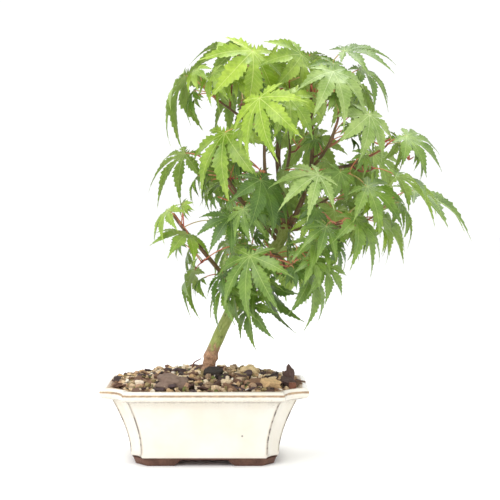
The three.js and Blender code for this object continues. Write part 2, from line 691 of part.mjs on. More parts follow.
// The shoot's stem. It runs on just clear of its limb's tip, or out of the limb's side, where it is cut
// clear later, and bends towards the hub of the leading leaf.
function stemTo(mass, hub, bow) {
  const limb = LIMBS[mass.on];
  const curve = limbCurve(limb);
  const foot = curve.getPoint(mass.at);
  const way = curve.getTangent(mass.at);
  const towards = hub.clone().sub(foot);
  const side = towards.clone().addScaledVector(way, -towards.dot(way)).normalize();
  const atTip = mass.at === 1;
  const start = foot.clone().addScaledVector(way, atTip ? CLEARANCE : 0);
  const lead = atTip ? way : side.clone().addScaledVector(way, 0.5).normalize();
  const reach = hub.distanceTo(start);
  const petiole = Math.min(PETIOLE_LENGTH, reach * 0.5);
  const end = start.clone().lerp(hub, 1 - petiole / reach).add(point(0, 0, 2));
  const knee = start.clone().addScaledVector(lead, 0.35 * reach).add(point(0, 0, bow * reach));
  return new THREE.QuadraticBezierCurve3(start, knee, end);
}

function petioleCurve(node, frame) {
  const end = frame.hub.clone().addScaledVector(frame.a, -1);
  return stalk(node, end, 0.16 * node.distanceTo(end));
}

// The leading leaf takes its place as given, or the nearest free one before or behind it as it is seen
function leadingShoot(mass) {
  const given = point(...mass.hub);
  const sight = given.clone().sub(EYE).normalize();
  for (const push of PUSHES) {
    const hub = given.clone().addScaledVector(sight, push);
    const leaf = blade(hub, mass.turn, mass.droop, mass.size, mass.roll);
    for (const bow of BOWS) {
      const stem = stemTo(mass, hub, bow);
      const petiole = petioleCurve(stem.getPoint(1), leaf.frame);
      const stalks = [...stalkGuard(stem), ...stalkGuard(petiole)];
      if (isFree(leaf.samples) && isFree(leaf.guard) && isFree(stalks)) {
        return { mass, stem, leaf };
      }
    }
  }
  throw new Error(`no room for ${mass.name}`);
}

// Each leaf after the leading one tries places round its node until one is free
function growShoots() {
  Object.values(LIMBS).forEach((limb) => {
    const curve = limbCurve(limb);
    const steps = Math.ceil(curve.getLength() / SAMPLE_STEP);
    take(ringsAlong(curve, (t) => limbRadius(limb, t), 6, steps).flat());
  });
  const shoots = MASSES.map((mass) => {
    const { stem, leaf } = leadingShoot(mass);
    const shoot = { mass, stem, leaves: [] };
    take(stalkSamples(stem));
    addLeaf(shoot, stem.getPoint(1), leaf);
    return shoot;
  });
  const most = Math.max(...MASSES.map((mass) => mass.leaves));
  for (let round = 1; round < most; round += 1) {
    shoots.forEach((shoot, number) => {
      if (round < shoot.mass.leaves) {
        tryLeaf(shoot, round, seeded(number * 97 + round * 13 + 5));
      }
    });
  }
  return shoots;
}

function addLeaf(shoot, node, leaf) {
  const petiole = petioleCurve(node, leaf.frame);
  shoot.leaves.push({ ...leaf, petiole });
  take(leaf.samples);
  take(stalkSamples(petiole));
}

function tryLeaf(shoot, round, random) {
  const { mass, stem } = shoot;
  const share = 1 - Math.floor(round / 2) / 3;
  const node = stem.getPoint(share);
  const way = stem.getTangent(share);
  const outwards = point(node.x - TREE_AXIS.x, node.y - TREE_AXIS.y, 0);
  const level = point(way.x, way.y, 0).length() > 0.15 ? way : outwards;
  const ahead = Math.atan2(level.y, level.x) / DEGREE;
  const side = round % 2 ? 1 : -1;
  for (let k = 0; k < TRIES; k += 1) {
    const loose = k / TRIES;
    const spread = 45 + (random() - 0.4) * mix(30, 170, loose);
    const turn = ahead + (k % 2 ? -side : side) * spread;
    const climb = mix(-12, 32, random()) + mix(0, 25, loose) * random();
    const length = PETIOLE_LENGTH * mix(0.6, 1.2, random());
    const size = Math.min(mass.size, 62) * mix(0.7, 0.95, random()) * mix(1, 0.66, loose);
    const droop = mix(34, 68, random());
    const hub = node.clone().addScaledVector(heading(turn, climb), length);
    const leaf = blade(hub, turn, droop, size);
    const petiole = petioleCurve(node, leaf.frame);
    const inRoom = leaf.samples.every((p) => p.distanceTo(point(...mass.hub)) < ROOM && showsInOutline(p));
    if (inRoom && isFree(leaf.samples) && isFree(leaf.guard) && isFree(stalkGuard(petiole))) {
      addLeaf(shoot, node, leaf);
      return;
    }
  }
}

// A stem and the petiole of its leading leaf as one way, of which the stem is the first three fifths
class StemAndPetiole extends THREE.Curve {
  constructor(stem, petiole) {
    super();
    this.stem = stem;
    this.petiole = petiole;
  }

  getPoint(t, target = point(0, 0, 0)) {
    const share = t / STEM_SHARE;
    const rest = (t - STEM_SHARE) / (1 - STEM_SHARE);
    return share < 1 ? this.stem.getPoint(share, target) : this.petiole.getPoint(rest, target);
  }
}

// The other petioles are rooted in the stem, at its nodes
function shootSolid(shoot) {
  const main = new StemAndPetiole(shoot.stem, shoot.leaves[0].petiole);
  let body = loft(ringsAlong(main, (t) => mix(STEM_RADIUS, PETIOLE_RADIUS, t), 3, 5));
  shoot.leaves.forEach(({ frame, size, petiole }, number) => {
    if (number > 0) {
      body = body.add(loft(ringsAlong(petiole, () => PETIOLE_RADIUS, 3, 2)));
    }
    body = body.add(leafSolid(frame, size));
  });
  return body.subtract(limbSolid(shoot.mass.on, CLEARANCE));
}

// Finishes
const FINISH = {
  glaze: { color: 0xf1ead7, roughness: 0.22, metalness: 0 },
  soil: { color: 0x6b5138, roughness: 0.95, metalness: 0 },
  bark: { color: 0x7c7440, roughness: 0.8, metalness: 0 },
  twig: { color: 0x5a3428, roughness: 0.7, metalness: 0 },
  leaf: { color: 0x6fa63a, roughness: 0.55, metalness: 0 },
};

function piece(name, body, finish) {
  const mesh = new THREE.Mesh(geometryOf(body), new THREE.MeshStandardMaterial(FINISH[finish]));
  mesh.name = name;
  return mesh;
}

const plant = new THREE.Group();
plant.add(piece('pot', potSolid(), 'glaze'));
plant.add(piece('soil', soilSolid(), 'soil'));

// Each limb is cut back clear of the limb that it grows from and of the limbs made before it
const made = [];
Object.keys(LIMBS).forEach((name) => {
  let body = limbSolid(name);
  made.forEach((other) => {
    body = body.subtract(limbSolid(other, CLEARANCE));
  });
  plant.add(piece(name, body, name === 'trunk' ? 'bark' : 'twig'));
  made.push(name);
});

const shoots = growShoots();
shoots.forEach((shoot) => plant.add(piece(`foliage_${shoot.mass.name}`, shootSolid(shoot), 'leaf')));

// The finished model stands on its origin: the middle of its underside
const reach = new THREE.Box3().setFromObject(plant);
const middle = reach.getCenter(point(0, 0, 0));
plant.position.set(-middle.x, -middle.y, -reach.min.z);

const model = new THREE.Group();
model.add(plant);
model.updateMatrixWorld(true);

export default model;
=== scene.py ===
# %% [markdown]
# # A small japanese maple in a cream glazed pot
# This notebook dresses a imported CAD model of a bonsai. The CAD part gives the sizes and the places: a
# pot with stepped-in corners, a mound of soil, a leaning trunk with its boughs, and the masses of
# foliage. Each cell below makes one piece or one finish and says why it is made that way. The frame is
# loaded first, and the box round the CAD model is kept, which later gives the height of the crown.

# %% Load the imported plant
import json
import math
import bpy
import numpy as np
from mathutils import Euler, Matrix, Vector, noise

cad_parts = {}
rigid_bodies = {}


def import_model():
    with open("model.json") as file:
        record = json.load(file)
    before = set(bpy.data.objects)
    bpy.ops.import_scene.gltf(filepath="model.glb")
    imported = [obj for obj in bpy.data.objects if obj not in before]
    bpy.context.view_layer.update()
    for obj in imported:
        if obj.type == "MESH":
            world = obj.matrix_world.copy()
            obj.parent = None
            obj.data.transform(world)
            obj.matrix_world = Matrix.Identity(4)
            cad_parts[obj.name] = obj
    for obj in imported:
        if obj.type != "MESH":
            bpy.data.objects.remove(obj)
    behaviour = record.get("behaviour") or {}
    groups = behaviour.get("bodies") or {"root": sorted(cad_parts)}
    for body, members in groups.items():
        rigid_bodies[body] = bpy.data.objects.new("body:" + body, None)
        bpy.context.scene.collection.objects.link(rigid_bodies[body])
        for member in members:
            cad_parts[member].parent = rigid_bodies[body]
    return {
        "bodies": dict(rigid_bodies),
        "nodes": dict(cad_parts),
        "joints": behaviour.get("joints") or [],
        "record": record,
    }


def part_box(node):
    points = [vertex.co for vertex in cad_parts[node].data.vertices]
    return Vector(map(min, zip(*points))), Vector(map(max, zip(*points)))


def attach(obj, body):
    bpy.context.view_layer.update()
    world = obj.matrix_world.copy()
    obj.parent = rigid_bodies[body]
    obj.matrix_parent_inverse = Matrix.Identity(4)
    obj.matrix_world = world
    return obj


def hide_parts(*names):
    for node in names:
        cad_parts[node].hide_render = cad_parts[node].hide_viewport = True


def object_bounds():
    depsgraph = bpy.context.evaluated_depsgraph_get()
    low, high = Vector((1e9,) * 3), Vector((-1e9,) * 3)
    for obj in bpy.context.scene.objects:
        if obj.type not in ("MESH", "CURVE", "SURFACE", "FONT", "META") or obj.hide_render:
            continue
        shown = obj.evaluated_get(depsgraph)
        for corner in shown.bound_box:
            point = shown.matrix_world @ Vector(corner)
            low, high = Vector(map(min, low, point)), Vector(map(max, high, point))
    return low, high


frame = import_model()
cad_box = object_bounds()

print("nodes in the frame:", len(frame["nodes"]))

# %% [markdown]
# ## Millimetres from the middle of the pot
# A maker measures a potted tree from the middle of its pot, in millimetres. The frame is in metres and
# has its origin under the middle of the whole plant, so one helper carries points from the one to the
# other. It reads the pot's own box, so it stays right if the plant is shifted in the frame.

# %% Places
pot_low, pot_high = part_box("pot")
POT_MIDDLE = np.array([(pot_low.x + pot_high.x) / 2, (pot_low.y + pot_high.y) / 2, 0.0])


def placed(points):
    return np.asarray(points, float) / 1000 + POT_MIDDLE


def mix(a, b, share):
    return a + (b - a) * share


print("middle of the pot:", POT_MIDDLE.round(5).tolist())

# %% [markdown]
# ## Camera
# The photo was taken from a little above the rim of the pot, with a longish lens, so the upright lines
# stay upright. The camera has no depth of field and no shift, which keeps every other view simple.

# %% Camera
EYE = np.array([43.5, -1350.0, 267.0])
camera_data = bpy.data.cameras.new("photo_camera")
camera_data.sensor_width = 36
camera_data.lens = 99.1
camera_data.clip_end = 20
camera = bpy.data.objects.new("photo_camera", camera_data)
camera.location = placed(EYE)
camera.rotation_euler = (math.radians(87.324), 0, 0)
bpy.context.scene.collection.objects.link(camera)
bpy.context.scene.camera = camera
print("camera at", [round(value, 3) for value in camera.location])

# %% [markdown]
# ## Meshes from arrays
# Leaves, rings of clay and rings of bark are all worked out as arrays of points, because that is quick
# and exact. One helper turns points and faces into an object at the origin, with its place in its mesh.
# UVs are stored for each corner of a face, so that a pattern may start and end at a seam, and marks are
# numbers stored for each point, which a material can read by name.

# %% Mesh helper
def new_piece(name, points, faces, materials, kinds=None, uv=None, marks=None):
    """An object of those points. The faces come in groups, one for each number of corners."""
    mesh = bpy.data.meshes.new(name)
    sizes = np.concatenate([np.full(len(group), group.shape[1]) for group in faces])
    corners = np.concatenate([group.reshape(-1) for group in faces])
    mesh.vertices.add(len(points))
    mesh.vertices.foreach_set("co", placed(points).astype(np.float32).reshape(-1))
    mesh.loops.add(len(corners))
    mesh.loops.foreach_set("vertex_index", corners.astype(np.int32))
    mesh.polygons.add(len(sizes))
    mesh.polygons.foreach_set("loop_start", (np.cumsum(sizes) - sizes).astype(np.int32))
    mesh.polygons.foreach_set("use_smooth", np.ones(len(sizes), bool))
    for material in materials:
        mesh.materials.append(material)
    if kinds is not None:
        mesh.polygons.foreach_set("material_index", np.asarray(kinds, np.int32))
    if uv is not None:
        layer = mesh.uv_layers.new(name="UVMap")
        layer.data.foreach_set("uv", np.asarray(uv, np.float32).reshape(-1))
    for mark, values in (marks or {}).items():
        made = mesh.attributes.new(mark, "FLOAT", "POINT")
        made.data.foreach_set("value", np.asarray(values, np.float32))
    mesh.update(calc_edges=True)
    mesh.validate()
    piece = bpy.data.objects.new(name, mesh)
    bpy.context.scene.collection.objects.link(piece)
    return piece


def settle(piece, slot, *nodes):
    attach(piece, "root")
    if nodes:
        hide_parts(*nodes)
    print(piece.name, "faces:", len(piece.data.polygons))

# %% [markdown]
# ## Skins through rings
# A pot wall, a mound of soil, a limb and a stalk have one thing in common: each is a skin through closed
# rings, with a fan over each end. Blender can sweep a circle along a curve, but most of these rings
# change their shape on the way, so they are arrays too, and one helper puts the faces between them.

# %% Skins
def wall_faces(rows, count):
    """Four-sided faces between neighbouring closed rows of points."""
    i = np.arange(count)
    j = (i + 1) % count
    return np.vstack([np.stack([r * count + i, r * count + j, (r + 1) * count + j, (r + 1) * count + i], 1)
                      for r in range(rows - 1)])


def skin(rings):
    """Points, four-sided faces between closed rings, and a fan of three-sided ones over each end."""
    rings = np.asarray(rings)
    rows, count = rings.shape[:2]
    last, middles = (rows - 1) * count, rows * count
    points = np.vstack([rings.reshape(-1, 3), rings[0].mean(0), rings[-1].mean(0)])
    i = np.arange(count)
    j = (i + 1) % count
    fans = [np.stack([j, i, np.full(count, middles)], 1),
            np.stack([last + i, last + j, np.full(count, middles + 1)], 1)]
    return points, wall_faces(rows, count), np.vstack(fans)


def joined(skins):
    """Several skins as one."""
    count, points, walls, fans = 0, [], [], []
    for skin_points, skin_walls, skin_fans in skins:
        points.append(skin_points)
        walls.append(skin_walls + count)
        fans.append(skin_fans + count)
        count += len(skin_points)
    return np.vstack(points), np.vstack(walls), np.vstack(fans)


def piece_of(name, skins, finish):
    points, walls, fans = joined(skins)
    return new_piece(name, points, [walls, fans], [finish])


# %% [markdown]
# ## Materials from nodes
# Each finish is a Principled shader fed by small networks. Colours are given as they look on a screen
# and are turned into the linear values that the renderer counts in. A picture could be wrapped round
# each piece, but it would show its seams, so every colour is worked out from the point of the surface
# that it falls on.

# %% Node helpers
def screen(red, green, blue):
    values = [value / 255 for value in (red, green, blue)]
    return tuple(v / 12.92 if v <= 0.04045 else ((v + 0.055) / 1.055) ** 2.4 for v in values) + (1.0,)


def add(tree, kind, inputs=None, **settings):
    made = tree.nodes.new(kind)
    for key, value in settings.items():
        setattr(made, key, value)
    for key, value in (inputs or {}).items():
        if isinstance(value, bpy.types.NodeSocket):
            tree.links.new(value, made.inputs[key])
        else:
            made.inputs[key].default_value = value
    return made


def blended(tree, share, first, second):
    return add(tree, "ShaderNodeMix", {0: share, 6: first, 7: second}, data_type="RGBA").outputs[2]


def sums(tree, way, *values):
    return add(tree, "ShaderNodeMath", dict(enumerate(values)), operation=way).outputs[0]


def toned(shade, strength):
    """A darker or lighter tone of a screen shade."""
    return screen(*[min(255, value * strength) for value in shade])


def laid_over(tree, colour, mask, strength, *shade):
    """A colour with a shade laid over it, as far as a mask and a strength say."""
    return blended(tree, sums(tree, "MULTIPLY", mask, strength), colour, screen(*shade))


def ranged(tree, value, low, high, to_low=0.0, to_high=1.0):
    inputs = {"Value": value, "From Min": low, "From Max": high, "To Min": to_low, "To Max": to_high}
    return add(tree, "ShaderNodeMapRange", inputs).outputs[0]

# %% [markdown]
# A finish starts with a name and a roughness. Patterns read Object coordinates, which need no
# unwrapping, or the marks and UVs that the mesh carries, and bump is only for what is too fine for the
# mesh. A node group gets named inputs, so that it can be used like any other node.

# %% Finish helpers
def new_finish(name, roughness, **inputs):
    material = bpy.data.materials.new(name)
    material.use_nodes = True
    shader = material.node_tree.nodes["Principled BSDF"]
    shader.inputs["Roughness"].default_value = roughness
    for key, value in inputs.items():
        shader.inputs[key.replace("_", " ")].default_value = value
    return material, material.node_tree, shader


def bumped(tree, shader, height, strength, distance):
    bump = add(tree, "ShaderNodeBump", {"Height": height, "Strength": strength, "Distance": distance})
    tree.links.new(bump.outputs[0], shader.inputs["Normal"])


def here(tree):
    return add(tree, "ShaderNodeTexCoord").outputs["Object"]


def mark_of(tree, name):
    return add(tree, "ShaderNodeAttribute", attribute_name=name).outputs["Fac"]


def new_group(name, kind, inputs, outputs):
    """A node group, and what its inputs give. Each socket has a label, a type and perhaps a value."""
    group = bpy.data.node_groups.new(name, kind)
    for way, sockets in (("INPUT", inputs), ("OUTPUT", outputs)):
        for label, socket_type, *value in sockets:
            made = group.interface.new_socket(label, in_out=way, socket_type="NodeSocket" + socket_type)
            if value:
                made.default_value = value[0]
    return group, group.nodes.new("NodeGroupInput").outputs


# %% [markdown]
# ## Clouds of light and dark
# No real surface is even: it has clouds of lighter and darker colour. A noise texture gives them, and
# two limits say how much of it shows. Each finish could have noise of its own, but a group is built
# once, and a change in it reaches every finish.

# %% Node group: clouds
clouds_group, given = new_group(
    "Clouds", "ShaderNodeTree",
    [("Vector", "Vector"), ("Scale", "Float", 100.0), ("Low", "Float", 0.35), ("High", "Float", 0.65)],
    [("Mask", "Float")])
puffs = add(clouds_group, "ShaderNodeTexNoise",
            {"Vector": given["Vector"], "Scale": given["Scale"], "Detail": 4.0, "Roughness": 0.6})
mask = ranged(clouds_group, puffs.outputs[0], given["Low"], given["High"])
add(clouds_group, "NodeGroupOutput", {"Mask": mask})
print("group:", clouds_group.name)


def clouds(tree, vector, scale, low=0.35, high=0.65):
    inputs = {"Vector": vector, "Scale": scale, "Low": low, "High": high}
    return add(tree, "ShaderNodeGroup", inputs, node_tree=clouds_group).outputs["Mask"]


# %% [markdown]
# ## Glaze and bare clay
# The pot is thrown in dark brown clay and dipped in a cream glaze. Where the glaze runs thin over an
# edge it breaks to brown: along the lip, and down the two edges of each stepped corner, where it has
# flaked into short dashes. Under the lip it pools and crazes to a fine grey net, and the cream is darkened
# there with a broken grey line, as painted shade and shadow of the lip. The foot stays bare.
# The mesh carries a mark that is 1 on such an edge and falls to 0 beside it, and the material turns
# that into a broken brown line, so the wear follows the form and not a picture.

# %% Glaze and clay finishes
glaze, tree, shader = new_finish("cream_glaze", 0.16, IOR=1.5, Coat_Weight=0.3, Coat_Roughness=0.05)
spot = here(tree)
pooled, edge, notch = (mark_of(tree, mark) for mark in ("pooled", "thin_glaze", "notch_line"))
cream = blended(tree, clouds(tree, spot, 18.0), screen(238, 234, 224), screen(232, 224, 208))
# Painted shade under the lip, where the glaze also pools.
cream = laid_over(tree, cream, pooled, 0.5, 216, 206, 188)

uneven = ranged(tree, clouds(tree, spot, 260.0, 0.3, 0.7), 0.0, 1.0, 0.7, 1.25)
broken = ranged(tree, sums(tree, "MULTIPLY", edge, uneven), 0.2, 0.55)
thin_brown = blended(tree, clouds(tree, spot, 160.0), screen(132, 98, 62), screen(182, 148, 106))
cream = blended(tree, sums(tree, "MULTIPLY", broken, 0.9), cream, thin_brown)

dashes = sums(tree, "MAXIMUM", clouds(tree, spot, 150.0, 0.42, 0.54), 0.5)
cream = laid_over(tree, cream, ranged(tree, notch, 0.0, 0.5), 0.42, 190, 168, 140)
cream = laid_over(tree, cream, ranged(tree, notch, 0.3, 0.65), dashes, 92, 82, 76)

net = add(tree, "ShaderNodeTexVoronoi", {"Vector": spot, "Scale": 420.0}, feature="DISTANCE_TO_EDGE")
lines = ranged(tree, net.outputs["Distance"], 0.0, 0.1, 1.0, 0.0)
crazed = sums(tree, "MULTIPLY", lines, sums(tree, "MULTIPLY", pooled, clouds(tree, spot, 60.0, 0.38, 0.6)))
cream = laid_over(tree, cream, crazed, 0.6, 150, 142, 132)
# A broken grey line of painted shadow, right under the lip.
painted_lip_shadow = sums(tree, "MULTIPLY", ranged(tree, pooled, 0.72, 0.95), clouds(tree, spot, 300.0, 0.36, 0.58))
cream = laid_over(tree, cream, painted_lip_shadow, 0.85, 124, 118, 114)

speck = add(tree, "ShaderNodeTexVoronoi", {"Vector": spot, "Scale": 30.0})
dots = ranged(tree, speck.outputs["Distance"], 0.022, 0.034, 1.0, 0.0)
cream = laid_over(tree, cream, dots, 0.8, 96, 90, 84)
tree.links.new(cream, shader.inputs["Base Color"])
tree.links.new(ranged(tree, broken, 0.0, 1.0, 0.16, 0.5), shader.inputs["Roughness"])
waves = clouds(tree, spot, 34.0, 0.0, 1.0)
bumped(tree, shader, sums(tree, "ADD", waves, sums(tree, "MULTIPLY", broken, -0.12)), 0.3, 0.0012)

clay, tree, shader = new_finish("bare_brown_clay", 0.78)
spot = here(tree)
brown = blended(tree, clouds(tree, spot, 90.0), screen(92, 62, 50), screen(122, 88, 72))
brown = blended(tree, clouds(tree, spot, 900.0, 0.55, 0.75), brown, screen(58, 40, 36))
tree.links.new(brown, shader.inputs["Base Color"])
bumped(tree, shader, clouds(tree, spot, 700.0, 0.2, 0.8), 0.5, 0.0005)
print("finishes:", glaze.name, clay.name)

# %% [markdown]
# ## Pot
# The pot is a skin through rings, like a basket: each ring is a rectangle whose corners step in by a
# scooped curve, and the ring's width, depth and step change from the foot to the lip and down the
# inner wall. The sizes are the CAD model's own, but for a smaller step at the foot. Here each corner gets
# far more points, with several close to its edges, so that an edge stays crisp and can carry the mark
# for the broken glaze.

# %% Stepped ring
CORNER_ANGLES = [2, 5, 10, 18, 27, 36, 45, 54, 63, 72, 80, 85, 88]
EDGE_STEPS = [14, 6, 3, 1.4, 0.5]
NOTCH_MARKS = {0.5: 1, 1.4: 0.45, 2: 1, 5: 0.45, 85: 0.45, 88: 1}


def round_the_pot(quarter, front, side):
    """A ring from the points of its front right quarter, counterclockwise from the middle of the front."""
    ring = [front] + quarter + [side] + [(x, -y, *rest) for x, y, *rest in reversed(quarter)]
    ring += [(front[0], -front[1], *front[2:])] + [(-x, -y, *rest) for x, y, *rest in quarter]
    ring += [(-side[0], side[1], *side[2:])] + [(-x, y, *rest) for x, y, *rest in reversed(quarter)]
    return np.array(ring, float)


def stepped_ring(z, width, depth, step_x, step_y, hollow, bow=0.0):
    """Columns: x, y, z, and a mark that is 1 on the two edges of each stepped corner."""
    edge_x, edge_y = width / 2 - step_x, depth / 2 - step_y
    quarter = [(x, -depth / 2 - bow * (1 - x / edge_x), z, 0) for x in (edge_x * 0.3, edge_x * 0.6)]
    quarter += [(edge_x - away, -depth / 2 - bow * away / edge_x, z, NOTCH_MARKS.get(away, 0))
                for away in EDGE_STEPS]
    for angle in CORNER_ANGLES:
        share = angle / 90
        straight = (mix(edge_x, width / 2, share), mix(-depth / 2, -edge_y, share))
        scoop = (width / 2 - step_x * math.cos(math.radians(angle)),
                 -depth / 2 + step_y * math.sin(math.radians(angle)))
        mark = NOTCH_MARKS.get(angle, 0)
        quarter.append((mix(straight[0], scoop[0], hollow), mix(straight[1], scoop[1], hollow), z, mark))
    quarter += [(width / 2 + bow * away / edge_y, -edge_y + away, z, NOTCH_MARKS.get(away, 0))
                for away in reversed(EDGE_STEPS)]
    quarter += [(width / 2 + bow * (1 - y / edge_y), -y, z, 0) for y in (edge_y * 0.4, edge_y * 0.2)]
    return round_the_pot(quarter, (0, -depth / 2 - bow, z, 0), (width / 2 + bow, 0, z, 0))

# %% [markdown]
# The wall flares as it rises, while its corners step in further and are scooped deeper. The lip is a
# list of heights, insets and steps, close together where it rounds over, and the inner wall goes down
# from it to the floor. Subdivision could round the lip too, but it would pull the stepped corners out of
# place.

# %% Rings of the pot
RIM_WIDTH, RIM_DEPTH, POT_HEIGHT = 200, 150, 74
LIP_UNDERSIDE, FLOOR_TOP, CLAY_TOP, FOOT_HEIGHT = 64, 13, 7.9, 6.1
OPENING_INSET, INNER_BOW = 9, 2
BODY_FOOT, BODY_TOP, BODY_FLARE = (143, 104), (179, 128), 1.5
INNER_FOOT, INNER_FLARE = (125, 86), 1.3


def body_ring(z):
    share = (z - FLOOR_TOP) / (LIP_UNDERSIDE - FLOOR_TOP)
    flare = share ** BODY_FLARE
    width, depth = (mix(foot, top, flare) for foot, top in zip(BODY_FOOT, BODY_TOP))
    hollow = mix(0.6, 1, min(1, share * 3))
    return stepped_ring(z, width, depth, mix(11, 17, share), mix(17, 23, share), hollow)


def lip_ring(z, inset, step):
    return stepped_ring(z, RIM_WIDTH - 2 * inset, RIM_DEPTH - 2 * inset, step, step + 2, 1)


def inner_ring(z, inset):
    share = (z - FLOOR_TOP) / (POT_HEIGHT - FLOOR_TOP)
    flare = share ** INNER_FLARE
    width = mix(INNER_FOOT[0], RIM_WIDTH - 2 * OPENING_INSET, flare) - 2 * inset
    depth = mix(INNER_FOOT[1], RIM_DEPTH - 2 * OPENING_INSET - 2, flare) - 2 * inset
    return stepped_ring(z, width, depth, mix(15, 26, share), mix(19, 29, share), mix(0.4, 0, share),
                        INNER_BOW * share ** 3)


FOOT_CORNER = {"step_x": 11.5, "step_y": 17, "hollow": 0.6}
FOOT_RINGS = [(FOOT_HEIGHT, 4, 3), (CLAY_TOP - 0.3, 2.8, 2), (CLAY_TOP, 1.8, 1.2), (CLAY_TOP + 1, 0.8, 0.4)]
BODY_HEIGHTS = [14, 17, *range(20, 61, 4), 62]
LIP_RINGS = [(63.6, 8.6, 18), (64.3, 6, 19), (64.7, 4, 20.4), (65.2, 2.4, 21.6), (65.9, 1.2, 22.6),
             (66.8, 0.6, 23), (68.4, 0.2, 23.6), (69.9, 0, 24), (70.6, 0, 24), (71.2, 0.2, 24),
             (71.9, 0.7, 24), (72.7, 1.5, 23.5), (73.4, 2.6, 22.6), (73.85, 3.6, 21.6),
             (POT_HEIGHT, 4.6, 20.4)]
INNER_RINGS = [(POT_HEIGHT, -0.5), (POT_HEIGHT - 0.3, 0), (POT_HEIGHT - 1, 0.4), (POT_HEIGHT - 2, 0.6),
               (62, 0), (40, 0), (FLOOR_TOP, 0)]
outer_rings = [stepped_ring(z, BODY_FOOT[0] - less_wide, BODY_FOOT[1] - less_deep, **FOOT_CORNER)
               for z, less_wide, less_deep in FOOT_RINGS]
outer_rings += [body_ring(z) for z in BODY_HEIGHTS] + [lip_ring(*sizes) for sizes in LIP_RINGS]
inner_rings = [inner_ring(*sizes) for sizes in INNER_RINGS]
print("rings:", len(outer_rings), "outer and", len(inner_rings), "inner, of", len(outer_rings[0]), "points")

# %% [markdown]
# The skin runs up the outside, over the lip and down to the floor, so the pot is one closed shell. It
# carries three marks for the glaze: the edges of the stepped corners, the thin glaze on the lip, and the
# band under the lip, where the glaze pools and where shade is painted. The underside, the inner wall and
# the floor are bare clay.

# %% Pot
LINE_HEIGHT, LINE_REACH, POOL_AND_SHADE_REACH, BARE_WALLS = 70.7, 0.9, 7, 3
pot_rings = np.array(outer_rings + inner_rings)
rows, columns = pot_rings.shape[:2]
height = pot_rings[:, :, 2]
outside = np.arange(rows)[:, None] < len(outer_rings)
on_body = outside & (height > CLAY_TOP + 2) & (height < LIP_UNDERSIDE)
brown_line = np.exp(-((height - LINE_HEIGHT) / LINE_REACH) ** 2)
marks = {
    "notch_line": np.where(on_body, pot_rings[:, :, 3], 0),
    "thin_glaze": np.where(outside, brown_line, np.where(height > POT_HEIGHT - 0.5, 1, 0.5)),
    "pooled": np.where(outside, np.clip(1 - abs(height - LIP_UNDERSIDE) / POOL_AND_SHADE_REACH, 0, 1), 0),
}
points, walls, fans = skin(pot_rings[:, :, :3])
marks = {mark: np.pad(values.reshape(-1).astype(float), (0, len(points) - values.size))
         for mark, values in marks.items()}
bare = (points[walls[:, 0], 2] < CLAY_TOP - 0.01) | (walls[:, 0] // columns >= rows - 1 - BARE_WALLS)
kinds = np.concatenate([bare, np.ones(len(fans), bool)])
pot = new_piece("glazed_pot", points, [walls, fans], [glaze, clay], kinds, marks=marks)

# %% [markdown]
# Two drain holes go through the floor. They could be rings of the skin too, but round holes in a ring
# with corners make poor faces, so they are cut with a Boolean modifier. Its result is turned into a
# plain mesh before the pot is handed on.

# %% Drain holes
HOLE_PLACE, HOLE_RADIUS, HOLE_SIDES = 29, 7.5, 32
turn = np.linspace(0, 2 * math.pi, HOLE_SIDES, endpoint=False)
circle = np.stack([HOLE_RADIUS * np.cos(turn), HOLE_RADIUS * np.sin(turn), 0 * turn], 1)
holes = [skin([circle + [side, 0, z] for z in (-5, 20)]) for side in (-HOLE_PLACE, HOLE_PLACE)]
drill = piece_of("drain_drill", holes, clay)
cut = pot.modifiers.new("drain_holes", "BOOLEAN")
cut.object = drill
mesh = bpy.data.meshes.new_from_object(pot.evaluated_get(bpy.context.evaluated_depsgraph_get()))
pot.modifiers.clear()
pot.data = mesh
bpy.data.objects.remove(drill)
settle(pot, "pot_glaze", "pot")

# %% [markdown]
# The feet are four L's of bare clay, a little wider at the top than on the ground. They could be joined
# to the pot by another Boolean, but they are a piece of their own that reaches a little way into its
# underside, which looks the same.

# %% Feet
FOOT_SHAPE = [(0, 0.5), (0.5, 0), (3, 0), (5.6, 0), (FOOT_HEIGHT + 0.4, 0)]
FOOT_CUT_X, FOOT_CUT_Y, FOOT_BREADTH, FOOT_MIDDLE = 11.5, 14, 24, (48, -36)


def foot_rings(sign_x, sign_y):
    """The rings of one foot: each row of its shape is a height and how far the edge is eased there."""
    rings = []
    for z, eased in FOOT_SHAPE:
        share = z / FOOT_HEIGHT
        out_x, out_y = mix(66.4, 68.6, share) - eased, mix(49, 49.8, share) - eased
        end_x, end_y = mix(29, 22, share) + eased, mix(20, 14, share) + eased
        in_x, in_y = out_x - FOOT_BREADTH, out_y - FOOT_BREADTH
        outline = [(end_x, -out_y), (out_x - FOOT_CUT_X, -out_y), (out_x, -out_y + FOOT_CUT_Y),
                   (out_x, -end_y), (in_x, -end_y), (in_x, -in_y), (end_x, -in_y)]
        ring = [(x * sign_x, y * sign_y, z) for x, y in outline]
        rings.append(ring if sign_x * sign_y > 0 else ring[::-1])
    return rings


feet = []
for sign_x in (1, -1):
    for sign_y in (1, -1):
        foot = skin(foot_rings(sign_x, sign_y))
        foot[0][-2:, :2] = FOOT_MIDDLE[0] * sign_x, FOOT_MIDDLE[1] * sign_y
        feet.append(foot)
settle(piece_of("clay_feet", feet, clay), "pot_glaze", "pot")

# %% [markdown]
# ## Soil
# A bonsai grows in a coarse open mix: cream pumice, dark bark chips and olive grit. Under the grains
# there is a bed, a mound that starts a little below the rim and rises towards the trunk. The bed is a
# skin of rings again, from the inner wall of the pot to the foot of the trunk.

# %% Bed of soil
CLEARANCE, SOIL_EDGE, SOIL_RISE, BUMP_SIZE, BUMP_HEIGHT = 0.3, 70, 12.7, 11, 1.6
TRUNK_FOOT = np.array([1.8, 3.0, SOIL_EDGE + SOIL_RISE + CLEARANCE])

